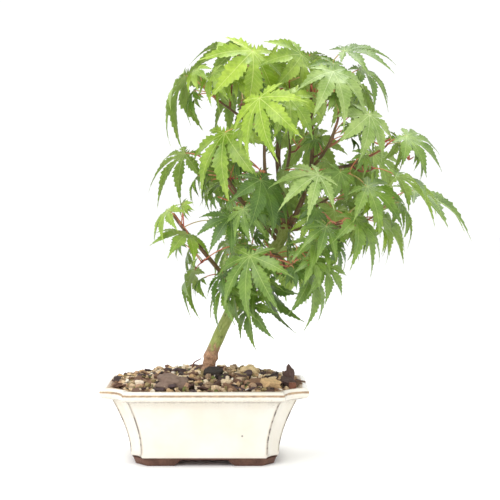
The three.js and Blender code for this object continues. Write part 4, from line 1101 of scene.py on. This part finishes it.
def leaf_frame(hub, turn, droop, roll=0):
    """a runs along the middle lobe, n out of the upper face, and b to the side."""
    a = heading(turn, -droop)
    out = np.array([hub[0] - TREE_AXIS[0], hub[1] - TREE_AXIS[1], 0])
    face = out * 0.75 / max(np.linalg.norm(out), 25) + np.array([0, 0, 0.8])
    n = face - a * face.dot(a)
    n /= np.linalg.norm(n)
    angle = math.radians(-roll)
    n = n * math.cos(angle) + np.cross(a, n) * math.sin(angle)
    return {"hub": np.asarray(hub, float), "a": a, "n": n, "b": np.cross(n, a)}


def on_blade(frame, size, angle, along, across, lift):
    bend = BLADE_BEND / size
    flat = np.sin(bend * along) / bend
    fall = (1 - np.cos(bend * along)) / bend
    cos, sin = np.cos(np.radians(angle)), np.sin(np.radians(angle))
    return (frame["hub"] + np.outer(flat * cos - across * sin, frame["a"])
            + np.outer(flat * sin + across * cos, frame["b"]) + np.outer(lift - fall, frame["n"]))


def lobe_shape(share):
    return 0.6 + 0.4 * share / WIDEST if share < WIDEST else ((1 - share) / (1 - WIDEST)) ** 0.85


def leaf_spread(size):
    """Places spread over a blade of that size: angle, along and across."""
    spread = []
    for angle, length, width in LOBES:
        steps = math.ceil(length * size / SAMPLE_STEP)
        for k in range(1, steps + 1):
            wide = width * size * lobe_shape(k / steps)
            rows = math.ceil(wide / SAMPLE_STEP)
            for j in range(-rows, rows + 1):
                spread.append((angle, length * size * k / steps, wide * j / rows if rows else 0))
    return np.array(spread).T


# %% [markdown]
# ## Room in the crown
# Leaves that cut through each other look false, but to test each pair of meshes would be slow. So the
# crown is a grid of small cells: what grows takes the cells that it lies in, and a new leaf may stay only
# where none of its cells is taken. The outline and the open places are tested as the camera sees them.

# %% Room in the crown
HELD = np.zeros((2 * HALF_GRID,) * 3, bool)


def cells(points):
    return tuple((np.floor(np.asarray(points) / CELL).astype(int) + HALF_GRID).T)


def take(points):
    HELD[cells(points)] = True


def is_free(points):
    return not HELD[cells(points)].any()


def stalk_samples(curve):
    return curve.at(np.linspace(0, 1, math.ceil(curve.length() / SAMPLE_STEP) + 1))


def stalk_guard(curve):
    length = curve.length()
    steps = math.ceil(length / SAMPLE_STEP)
    rooted = math.ceil(steps * ROOTED / length)
    return rings_along(curve, lambda t, turn: GUARD, 4, steps)[rooted:].reshape(-1, 3)


def shows_in_outline(points):
    share = -EYE[1] / (points[:, 1] - EYE[1])
    x = EYE[0] + (points[:, 0] - EYE[0]) * share
    z = EYE[2] + (points[:, 2] - EYE[2]) * share
    heights, lefts, rights = OUTLINE.T
    inside = (z >= heights[0]) & (z <= heights[-1])
    inside &= (x >= np.interp(z, heights, lefts)) & (x <= np.interp(z, heights, rights))
    for gap_x, gap_z, wide, high in SKY:
        inside &= ((x - gap_x) / wide) ** 2 + ((z - gap_z) / high) ** 2 > 1
    return bool(inside.all())


# %% [markdown]
# ## Shoots
# A stem leaves its limb at a side, or goes on from its tip, and arches to where its leaves start. Each
# leaf's stalk arches from a node of the stem to the leaf's hub. Tree generators grow whole crowns, but
# here the leading leaves have given places, so the rule is written out.

# %% Stems and stalks
def petiole_curve(node, leaf):
    end = leaf["hub"] - leaf["a"]
    middle = (node + end) / 2 + np.array([0, 0, 0.16 * np.linalg.norm(node - end)])
    return Arch(node, middle, end)


def stem_to(mass, hub, bow):
    curve = LIMBS[mass["on"]]["curve"]
    foot, way = curve.at(mass["at"])[0], curve.way(mass["at"])[0]
    towards = hub - foot
    side = towards - way * towards.dot(way)
    side /= np.linalg.norm(side)
    at_tip = mass["at"] == 1
    start = foot + way * (CLEARANCE if at_tip else 0)
    lead = way if at_tip else (side + way * 0.5) / np.linalg.norm(side + way * 0.5)
    reach = np.linalg.norm(hub - start)
    petiole = min(PETIOLE_LENGTH, reach * 0.5)
    end = start + (hub - start) * (1 - petiole / reach) + np.array([0, 0, 2])
    return Arch(start, start + lead * 0.35 * reach + np.array([0, 0, bow * reach]), end)


def add_leaf(shoot, node, frame, size, spread):
    petiole = petiole_curve(node, frame)
    shoot["leaves"].append({"frame": frame, "size": size, "petiole": petiole})
    take(on_blade(frame, size, *spread, 0))
    take(stalk_samples(petiole))

# %% [markdown]
# The leading leaf has a given place. If that is taken, the leaf is pushed back or forward along the
# line of sight, where the camera sees it in the same place, and its stem is bowed until it is free.

# %% Leading leaf
def leading_shoot(mass):
    """The stem and the leading leaf, pushed back or forward along the line of sight to find room."""
    given = np.array(mass["hub"], float)
    sight = (given - EYE) / np.linalg.norm(given - EYE)
    spread = leaf_spread(mass["size"])
    for push in PUSHES:
        hub = given + sight * push
        frame = leaf_frame(hub, mass["turn"], mass["droop"], mass["roll"])
        blade = [on_blade(frame, mass["size"], *spread, lift) for lift in (0, GUARD, -GUARD)]
        if not all(is_free(part) for part in blade):
            continue
        for bow in BOWS:
            stem = stem_to(mass, hub, bow)
            petiole = petiole_curve(stem.at(1)[0], frame)
            if is_free(stalk_guard(stem)) and is_free(stalk_guard(petiole)):
                shoot = {"mass": mass, "stem": stem, "leaves": []}
                take(stalk_samples(stem))
                add_leaf(shoot, stem.at(1)[0], frame, mass["size"], spread)
                return shoot
    raise RuntimeError(f"no room for {mass['name']}")

# %% [markdown]
# A further leaf swings out to one side or the other of its node. Each try draws a turn, a climb, a
# length, a size and a droop, and later tries are looser and smaller. The first that finds room stays.

# %% Further leaves
def try_leaf(shoot, share, side, random, sizes=(0.7, 0.95), guard=GUARD, tries=TRIES,
             reach=PETIOLE_LENGTH):
    """A further leaf, tried again and again round a node of the stem until it has room."""
    mass, stem = shoot["mass"], shoot["stem"]
    node, way = stem.at(share)[0], stem.way(share)[0]
    level = way if math.hypot(way[0], way[1]) > 0.15 else node - TREE_AXIS
    ahead = math.degrees(math.atan2(level[1], level[0]))
    for k in range(tries):
        loose = k / tries
        spread = SPREAD + (random() - 0.4) * mix(*WIDER_SPREADS, loose)
        turn = ahead + (-side if k % 2 else side) * spread
        climb = mix(*CLIMBS, random()) + mix(0, STEEPER, loose) * random()
        length = reach * mix(*REACHES, random())
        size = min(mass["size"], LARGEST_LEAF) * mix(*sizes, random()) * mix(1, SHRUNK, loose)
        droop = mix(*DROOPS, random())
        hub = node + heading(turn, climb) * length
        frame = leaf_frame(hub, turn, droop)
        tips = on_blade(frame, size, *TIPS * np.array([[1], [size], [size]]), 0)
        if not (shows_in_outline(tips) and is_free(tips)):
            continue
        places = leaf_spread(size)
        blade = on_blade(frame, size, *places, 0)
        near = np.linalg.norm(blade - np.array(mass["hub"], float), axis=1).max() < ROOM
        if not (near and shows_in_outline(blade) and is_free(blade)):
            continue
        if not all(is_free(on_blade(frame, size, *places, lift)) for lift in (guard, -guard)):
            continue
        petiole = petiole_curve(node, frame)
        if is_free(stalk_guard(petiole)):
            add_leaf(shoot, node, frame, size, places)
            return


# %% [markdown]
# The limbs take their room first, then come the leading leaves, and then the further leaves in rounds, so
# that no mass crowds out the next.

# %% Grow the masses
TIPS = np.array([(angle, length, 0) for angle, length, _ in LOBES]).T
KEYS = ("name", "on", "at", "hub", "turn", "droop", "roll", "size", "leaves", "tint")
for wood in LIMBS.values():
    steps = math.ceil(wood["curve"].length() / SAMPLE_STEP)
    take(rings_along(wood["curve"], lambda t, turn: limb_radius(wood, t), 6, steps).reshape(-1, 3))
shoots = [leading_shoot(dict(zip(KEYS, row))) for row in MASSES]
for round_number in range(1, 4):
    for number, shoot in enumerate(shoots):
        if round_number < shoot["mass"]["leaves"]:
            share = 1 - (round_number // 2) / 3
            side = 1 if round_number % 2 else -1
            try_leaf(shoot, share, side, seeded(number * 97 + round_number * 13 + 5))
print("leaves of the CAD model's rule:", sum(len(shoot["leaves"]) for shoot in shoots))

# %% [markdown]
# ## Finer twigs
# A real crown has more and smaller leaves than a CAD model can carry. The same rule goes on for more
# rounds, with shorter stalks and smaller blades, from places all along each stem. The blades may come
# nearer to each other, as thin real ones do, and they keep out of more of the open places that the
# photo shows: each is an ellipse seen from the camera, by its middle, half width and half height.

# %% Grow the finer leaves
SKY += [(16, 347, 17, 19), (159, 360, 9, 26), (181, 287, 12, 19), (191, 225, 16, 12), (-35, 240, 8, 8),
        (220, 259, 10, 8), (127, 192, 14, 18), (-15, 189, 9, 18), (83, 155, 12, 12)]
FINER_TRIES, FINER_REACH = 100, 26
FINER_ROUNDS = [
    {"share": 0.92, "sizes": (0.62, 0.9), "guard": 1.2}, {"share": 0.55, "sizes": (0.6, 0.86), "guard": 1.2},
    {"share": 0.78, "sizes": (0.5, 0.8), "guard": 1.0}, {"share": 0.3, "sizes": (0.5, 0.8), "guard": 1.0},
    {"share": 0.97, "sizes": (0.4, 0.7), "guard": 1.0}, {"share": 0.66, "sizes": (0.4, 0.66), "guard": 0.9},
    {"share": 0.45, "sizes": (0.36, 0.6), "guard": 0.9}]
for round_number, finer in enumerate(FINER_ROUNDS):
    for number, shoot in enumerate(shoots):
        random = seeded(number * 131 + round_number * 29 + 7001)
        side = 1 if (round_number + number) % 2 else -1
        try_leaf(shoot, side=side, random=random, tries=FINER_TRIES, reach=FINER_REACH, **finer)
print("leaves in all:", sum(len(shoot["leaves"]) for shoot in shoots))

# %% [markdown]
# ## One leaf
# A maple leaf is seven lobes round the end of its stalk. Each lobe has a midrib, is widest near its
# middle and runs out to a long point, and its edge is cut into forward teeth. The template below holds
# one leaf of size 1: where each point lies along and across its lobe, and whether it is on the rim or
# on a rib. The upper and the lower skin share the rim and stand a little apart at the ribs, so the leaf
# is a thin closed body and not a sheet. It has a fold along each rib, as real ones do.

# %% Edge of a lobe
TEETH = {0.42: 5, 0.76: 8, 0.95: 10, 1: 11}
TOOTH, SMALL_TOOTH, RIB_POINTS = 0.078, 0.55, 7


def lobe_width(share, width, start_share, start_width):
    if share < WIDEST:
        t = max(0.0, (share - start_share) / (WIDEST - start_share))
        return mix(start_width, width, math.sin(t * math.pi / 2))
    t = (share - WIDEST) / (1 - WIDEST)
    return width * (1 - t ** 1.25) ** 1.45


def lobe_edge(point, lobe, side, seam, heel):
    """The way along one side of a lobe, from its root to its tip: point, along, across."""
    angle, length, width = lobe
    if seam:
        half = math.radians(abs(seam["angle"] - angle))
        edge = [(seam["inner"], seam["deep"] * 0.5 * math.cos(half), seam["deep"] * 0.5 * math.sin(half)),
                (seam["notch"], seam["deep"] * math.cos(half), seam["deep"] * math.sin(half))]
    else:
        half = math.radians(60)
        edge = [(heel, 0.02 * length, 0.02)]
    start, start_width = edge[-1][1], edge[-1][2]
    for tooth in range(TEETH[length]):
        depth = TOOTH * (SMALL_TOOTH if tooth % 2 else 1)
        for part, out in ((0.8, 0.6), (0.95, -0.4)):
            share = (start + (length - start) * (tooth + part) / (TEETH[length] + 0.4)) / length
            wide = lobe_width(share, width, start / length, start_width) + out * depth * (1.12 - share)
            wide = min(max(0.004, wide), share * length * math.tan(half) * 0.97)
            edge.append((point(angle, share * length, side * wide, True), share * length, wide))
    return edge

# %% [markdown]
# The faces between a rib and an edge close like a zip: whichever has the nearer next point moves on, and
# each step makes a triangle. A Solidify modifier could thicken a flat leaf, but its rim would be a wall
# of its own, and here the two skins meet in a sharp edge. Three templates differ in how full the lobes
# are and how deep the blade is cut between them.

# %% Leaf template
def leaf_template(fullness, sinus):
    places, rims, faces, corners = [], [], [], []

    def point(angle, along, across, rim):
        places.append((angle, along, across))
        rims.append(rim)
        return len(places) - 1

    hub = point(0, 0, 0, False)
    heel = point(180, 0.03, 0, True)
    seams = []
    for lobe, following in zip(LOBES, LOBES[1:]):
        angle = (lobe[0] + following[0]) / 2
        deep = min(lobe[1], following[1]) * sinus + 0.04
        seams.append({"angle": angle, "deep": deep, "inner": point(angle, deep * 0.5, 0, False),
                      "notch": point(angle, deep, 0, True)})
    for number, (angle, length, width) in enumerate(LOBES):
        ribs = [(hub, 0.0)]
        for share in np.linspace(0.14, 0.9, RIB_POINTS):
            ribs.append((point(angle, share * length, 0, False), share * length))
        tip = point(angle, length, 0, True)
        ribs.append((tip, length))
        for side in (-1, 1):
            beside = number - 1 if side < 0 else number
            seam = seams[beside] if 0 <= beside < len(seams) else None
            edge = [(hub, 0.0, 0.0)] + lobe_edge(point, (angle, length, width * fullness), side, seam, heel)
            edge.append((tip, length, 0.0))
            p, q = 0, 0
            while p < len(edge) - 1 or q < len(ribs) - 1:
                if q == len(ribs) - 1 or (p < len(edge) - 1 and edge[p + 1][1] <= ribs[q + 1][1]):
                    trio = (edge[p], edge[p + 1], ribs[q])
                    p += 1
                else:
                    trio = (edge[p], ribs[q + 1], ribs[q])
                    q += 1
                ids = [item[0] for item in trio]
                if len(set(ids)) < 3:
                    continue
                flat = [(item[1], side * item[2] if len(item) == 3 else 0.0) for item in trio]
                faces.append(ids[::-side])
                corners.append(flat[::-side])
    places, rims, faces = np.array(places), np.array(rims), np.array(faces)
    inner = np.flatnonzero(~rims)
    twin = np.arange(len(places))
    twin[inner] = len(places) + np.arange(len(inner))
    lift = np.concatenate([np.where(rims, 0.0, 1.0), np.full(len(inner), -1.0)])
    uv = np.array(corners)
    return {"places": np.vstack([places, places[inner]]), "lift": lift, "top": faces,
            "under": twin[faces][:, ::-1], "uv": uv, "under_uv": uv[:, ::-1]}


templates = [leaf_template(fullness, sinus) for fullness, sinus in ((0.82, 0.12), (0.9, 0.18), (1.02, 0.26))]
print("faces of one leaf:", 2 * len(templates[0]["top"]))

# %% [markdown]
# ## Leaf finishes
# A leaf's colour is a plain green, dealt out by where its spray is, with paler ribs, a fine net of side
# veins, clouds of darker green over it, and clouds of lighter green that are partly mottling and partly
# a painted sheen. Its underside is paler and duller, and lighter still as a painted glow of light through
# the leaf. The veins are drawn from the blade's own coordinates: along the rib, and away from it.

# %% Vein group
vein_group, given = new_group("Leaf veins", "ShaderNodeTree", [("Blade", "Vector")],
                              [("Rib", "Float"), ("Veins", "Float")])
split = add(vein_group, "ShaderNodeSeparateXYZ", {0: given["Blade"]})
away = sums(vein_group, "ABSOLUTE", split.outputs[1])
half_width = ranged(vein_group, split.outputs[0], 0.0, 1.0, 0.0052, 0.002)
rib = ranged(vein_group, sums(vein_group, "DIVIDE", away, half_width), 0.6, 1.5, 1.0, 0.0)
forward = sums(vein_group, "SUBTRACT", split.outputs[0], sums(vein_group, "MULTIPLY", away, 1.1))
steps = sums(vein_group, "MULTIPLY", forward, 17.0)
saw = sums(vein_group, "ABSOLUTE", sums(vein_group, "SUBTRACT", sums(vein_group, "FRACT", steps), 0.5))
veins = ranged(vein_group, saw, 0.02, 0.13, 1.0, 0.0)
add(vein_group, "NodeGroupOutput", {"Rib": rib, "Veins": veins})


def leaf_finish(name, green, light, rib_colour, roughness=0.4):
    material, tree, shader = new_finish(name, roughness, Specular_IOR_Level=0.55)
    spot = here(tree)
    blade = add(tree, "ShaderNodeUVMap", uv_map="UVMap").outputs[0]
    rib, veins = add(tree, "ShaderNodeGroup", {"Blade": blade}, node_tree=vein_group).outputs
    # The lighter clouds are partly mottling and partly a painted sheen.
    colour = blended(tree, clouds(tree, spot, 34.0, 0.36, 0.64), screen(*green), screen(*light))
    mottle = sums(tree, "MULTIPLY", clouds(tree, spot, 200.0, 0.42, 0.66), 0.4)
    colour = blended(tree, mottle, colour, toned(green, 0.76))
    colour = laid_over(tree, colour, veins, 0.18, *rib_colour)
    colour = laid_over(tree, colour, rib, 0.6, *rib_colour)
    tree.links.new(colour, shader.inputs["Base Color"])
    bumped(tree, shader, sums(tree, "ADD", rib, sums(tree, "MULTIPLY", veins, 0.5)), 0.3, 0.0003)
    return material


TINTS = {
    "lemon": ((122, 156, 24), (170, 198, 62), (204, 218, 126)),
    "bright": ((106, 140, 26), (154, 182, 62), (192, 208, 120)),
    # The palest tint is a painted sheen of the bright sky.
    "pale": ((112, 144, 54), (158, 182, 100), (198, 214, 152)),
    "middle": ((78, 112, 24), (122, 152, 56), (170, 190, 108)),
    # This tint is painted shade, for the low, inner and back masses.
    "deep": ((54, 86, 20), (90, 124, 38), (144, 168, 86)),
}
leaf_tints = {name: leaf_finish("leaf_" + name, *colours) for name, colours in TINTS.items()}
# The underside is paler, and lighter still as a painted glow of light through the leaf.
underside = leaf_finish("leaf_underside", (140, 172, 70), (172, 198, 102), (204, 216, 146), 0.6)
print("tints:", list(leaf_tints))

# %% [markdown]
# ## All leaves
# Each leaf bends over its length like the ribs of an umbrella, folds a little along its ribs, droops at
# its tips and ripples, every one a little differently, from its own seed. Leaves of one tint become
# one piece.

# %% Shape of one leaf
HALF_THICKNESS, CROWN_TOP = 0.14, cad_box[1][2] * 1000
FOLDS, TIP_DROOPS, RIPPLE, WAVES, TWIST, SWING = (0.2, 0.5), (0.04, 0.2), 0.012, (9, 16), 0.4, 6


def leaf_points(template, frame, size, draw):
    """The points of one leaf, folded, drooping, rippled and twisted as its own draws say."""
    angle, along, across = template["places"].T
    fold = mix(*FOLDS, draw()) * np.abs(across) * size
    droop = mix(*TIP_DROOPS, draw()) * size * along ** 3
    ripple = RIPPLE * size * np.sin(along * mix(*WAVES, draw()) + draw() * 6.28 + angle * 0.03)
    twist = (draw() - 0.5) * TWIST * across * size
    lift = template["lift"] * HALF_THICKNESS + fold - droop + ripple * along + twist * along
    swing = (draw() - 0.5) * SWING * np.sin(np.radians(angle * 1.7)) * along
    return on_blade(frame, size, angle + swing, along * size, across * size, lift)


def kept_below(points, along, top):
    """Bends a leaf down from its hub outwards until its highest point is no higher than top."""
    highest = points[:, 2].argmax()
    over = max(0, points[highest, 2] - top)
    return points - np.outer(over * along / max(along[highest], 0.1), (0, 0, 1))


# %% [markdown]
# The leading leaf has the tint of its mass, and the others may have one next to it, so that leaves of
# one shoot differ a little, partly in age and partly in the painted shade and sheen. All leaves of a
# tint are one piece, which keeps the list of pieces short, and the faces of the undersides have the
# paler finish with its painted glow.

# %% Build the leaves
RIM_ANGLE = math.radians(70)
NEIGHBOURS = {"lemon": ("lemon", "bright"), "bright": ("bright", "middle", "bright"),
              "pale": ("pale", "middle", "pale"), "middle": ("middle", "deep", "middle", "bright"),
              "deep": ("deep", "middle")}
leaf_heaps = {tint: [] for tint in TINTS}
for number, shoot in enumerate(shoots):
    for place, leaf in enumerate(shoot["leaves"]):
        draw = seeded(number * 31 + place * 7 + 401)
        # The first numbers of neighbouring seeds are alike, so three are thrown away.
        for _ in range(3):
            draw()
        tint = shoot["mass"]["tint"]
        choices = NEIGHBOURS[tint]
        if place:
            tint = choices[int(draw() * len(choices))]
        template = templates[int(draw() * 3)]
        spots = leaf_points(template, leaf["frame"], leaf["size"], draw)
        leaf_heaps[tint].append((template, kept_below(spots, template["places"][:, 1], CROWN_TOP)))

foliage_nodes = ["foliage_" + shoot["mass"]["name"] for shoot in shoots]
for tint, heap in leaf_heaps.items():
    points, faces, kinds, uv, count = [], [], [], [], 0
    for template, spots in heap:
        points.append(spots)
        faces += [template["top"] + count, template["under"] + count]
        kinds += [np.zeros(len(template["top"]), int), np.ones(len(template["under"]), int)]
        uv += [template["uv"].reshape(-1, 2), template["under_uv"].reshape(-1, 2)]
        count += len(spots)
    leaves = new_piece("leaves_" + tint, np.vstack(points), [np.vstack(faces)],
                       [leaf_tints[tint], underside], np.concatenate(kinds), uv=np.vstack(uv))
    leaves.data.set_sharp_from_angle(angle=RIM_ANGLE)
    settle(leaves, "leaf", *foliage_nodes)

# %% [markdown]
# ## Stems and leaf stalks
# The young stems are brown-red and the stalks of the leaves coral to crimson, and here and there still
# green, which is what makes this tree glow from within. They are thin tubes along the curves of the
# growing rule.

# %% Stalk finishes
def stalk_finish(name, first, second):
    material, tree, shader = new_finish(name, 0.45)
    spot = here(tree)
    tree.links.new(blended(tree, clouds(tree, spot, 70.0, 0.4, 0.6), screen(*first), screen(*second)),
                   shader.inputs["Base Color"])
    bumped(tree, shader, clouds(tree, spot, 800.0, 0.2, 0.8), 0.3, 0.0002)
    return material


stem_skin = stalk_finish("young_stem", (112, 66, 50), (152, 100, 66))
stalk_skins = {"coral": stalk_finish("coral_stalk", (208, 110, 82), (224, 152, 108)),
               "crimson": stalk_finish("crimson_stalk", (184, 78, 74), (212, 122, 104)),
               "green": stalk_finish("green_stalk", (172, 176, 98), (210, 158, 108))}
print("stalk finishes:", list(stalk_skins))

# %% Stems and leaf stalks
def thin_tube(curve, first, last, sides, steps):
    return skin(rings_along(curve, lambda t, turn: mix(first, last, t), sides, steps))


stems = [thin_tube(shoot["stem"], 1.25, 0.75, 8, 16) for shoot in shoots]
settle(piece_of("young_stems", stems, stem_skin), "leaf", *foliage_nodes)
stalks = {tint: [] for tint in stalk_skins}
for number, shoot in enumerate(shoots):
    for place, leaf in enumerate(shoot["leaves"]):
        pick = ("coral", "crimson", "coral", "green")[(number * 3 + place * 5) % 4]
        stalks[pick].append(thin_tube(leaf["petiole"], 0.62, 0.46, 6, 10))
for tint, tubes in stalks.items():
    settle(piece_of("stalks_" + tint, tubes, stalk_skins[tint]), "leaf")

# %% [markdown]
# ## Stubs, buds and tufts
# A pruned tree keeps short stubs at its knuckle, orange-brown where the bark is young, and three tufts
# of cut leaf stalks stand above and at the right. Each node of a stem has small red bud scales. All of
# them are short tapering tubes round a place, thrown out by a seeded rule. Hair particles could make
# them too, but they would need more steps to become a closed mesh.

# %% Stubs, buds and tufts
def stubs(middle, count, longest, thick, seed, lowest=-20, highest=70):
    draw = seeded(seed)
    middle, made = np.array(middle, float), []
    for number in range(count):
        way = heading(360 * (number + 0.6 * draw()) / count, mix(lowest, highest, draw()))
        end = middle + way * longest * mix(0.6, 1, draw())
        pull = (middle + end) / 2 + way * 0.1 * longest + (0, 0, -0.12 * longest)
        made.append(thin_tube(Arch(middle, pull, end), thick, thick * 0.5, 6, 4))
    return made


orange_stub = stalk_finish("orange_stub", (168, 104, 58), (118, 74, 48))
bud_scale = stalk_finish("bud_scale", (190, 88, 72), (216, 134, 98))
knuckle = stubs((79.5, 0, 229), 7, 13, 2.2, 11) + stubs((79.5, -3, 226), 5, 9, 1.6, 12)
knuckle += stubs((104, -4, 268), 4, 7, 1.2, 13) + stubs((72, 3, 262), 4, 7, 1.3, 14)
settle(piece_of("knuckle_stubs", knuckle, orange_stub), "twig")

buds = stubs((107, 0, 354), 9, 13, 1.1, 21, 5, 80) + stubs((169, -22, 307), 9, 12, 1.1, 22, 10, 80)
buds += stubs((196, -24, 292), 5, 7, 0.9, 23, 0, 80)
for number, shoot in enumerate(shoots):
    for share in (0.34, 0.67, 1.0):
        buds += stubs(shoot["stem"].at(share)[0], 3, 2.6, 0.8, 300 + number, -10, 60)
settle(piece_of("red_buds", buds, bud_scale), "leaf")

# %% [markdown]
# The cut bough ends in a disc of bare wood, and a dead twig stands in the soil. Both are short tubes along
# a curve, like the stalks.

# %% Cut end and dead twig
bare_wood = stalk_finish("bare_wood", (204, 176, 134), (176, 146, 106))
cut = LIMBS["cut_bough"]["curve"]
tip, way = cut.at(1)[0], cut.way(1)[0]
cut_disc = thin_tube(Arch(tip - way * 0.5, tip, tip + way * 0.6), 1.8, 1.7, 12, 2)
settle(piece_of("cut_end", [cut_disc], bare_wood), "twig")
dead_twig = thin_tube(Bend([(-14, 8, 82), (-12.5, 8, 91), (-5, 6, 96)]), 0.9, 0.5, 6, 8)
settle(piece_of("dead_twig", [dead_twig], stem_skin), "soil")

# %% [markdown]
# ## Floor and light
# The photo is high key: a white sheet, soft light from above and in front, and almost no shadow. The
# floor is stage and not part of the plant. A bright even sky does most of the lighting, and two broad
# lamps, one from the left in front and one from above behind, give the leaves their shape.

# %% Stage
floor_finish, tree, shader = new_finish("white_sheet", 0.9)
shader.inputs["Base Color"].default_value = screen(252, 252, 252)
floor_mesh = bpy.data.meshes.new("floor")
floor_mesh.from_pydata([(-6, -6, 0), (6, -6, 0), (6, 6, 0), (-6, 6, 0)], [], [(0, 1, 2, 3)])
floor_mesh.materials.append(floor_finish)
floor = bpy.data.objects.new("floor", floor_mesh)
bpy.context.scene.collection.objects.link(floor)

world = bpy.data.worlds.new("bright_room")
world.use_nodes = True
daylight = world.node_tree.nodes["Background"]
daylight.inputs["Color"].default_value = (1, 1, 1, 1)
daylight.inputs["Strength"].default_value = 1.05
bpy.context.scene.world = world


def soft_lamp(name, place, aim, size=0.9, power=12):
    data = bpy.data.lights.new(name, "AREA")
    data.shape = "SQUARE"
    data.size = size
    data.energy = power
    lamp = bpy.data.objects.new(name, data)
    lamp.location = placed(place)
    lamp.rotation_euler = (Vector(placed(aim)) - Vector(placed(place))).to_track_quat("-Z", "Y").to_euler()
    bpy.context.scene.collection.objects.link(lamp)


soft_lamp("key", (-700, -1100, 1300), (60, 0, 220))
soft_lamp("top", (300, 300, 1500), (60, 0, 200))
bpy.context.scene.view_settings.view_transform = "Standard"
print("lamps:", [item.name for item in bpy.data.lights])
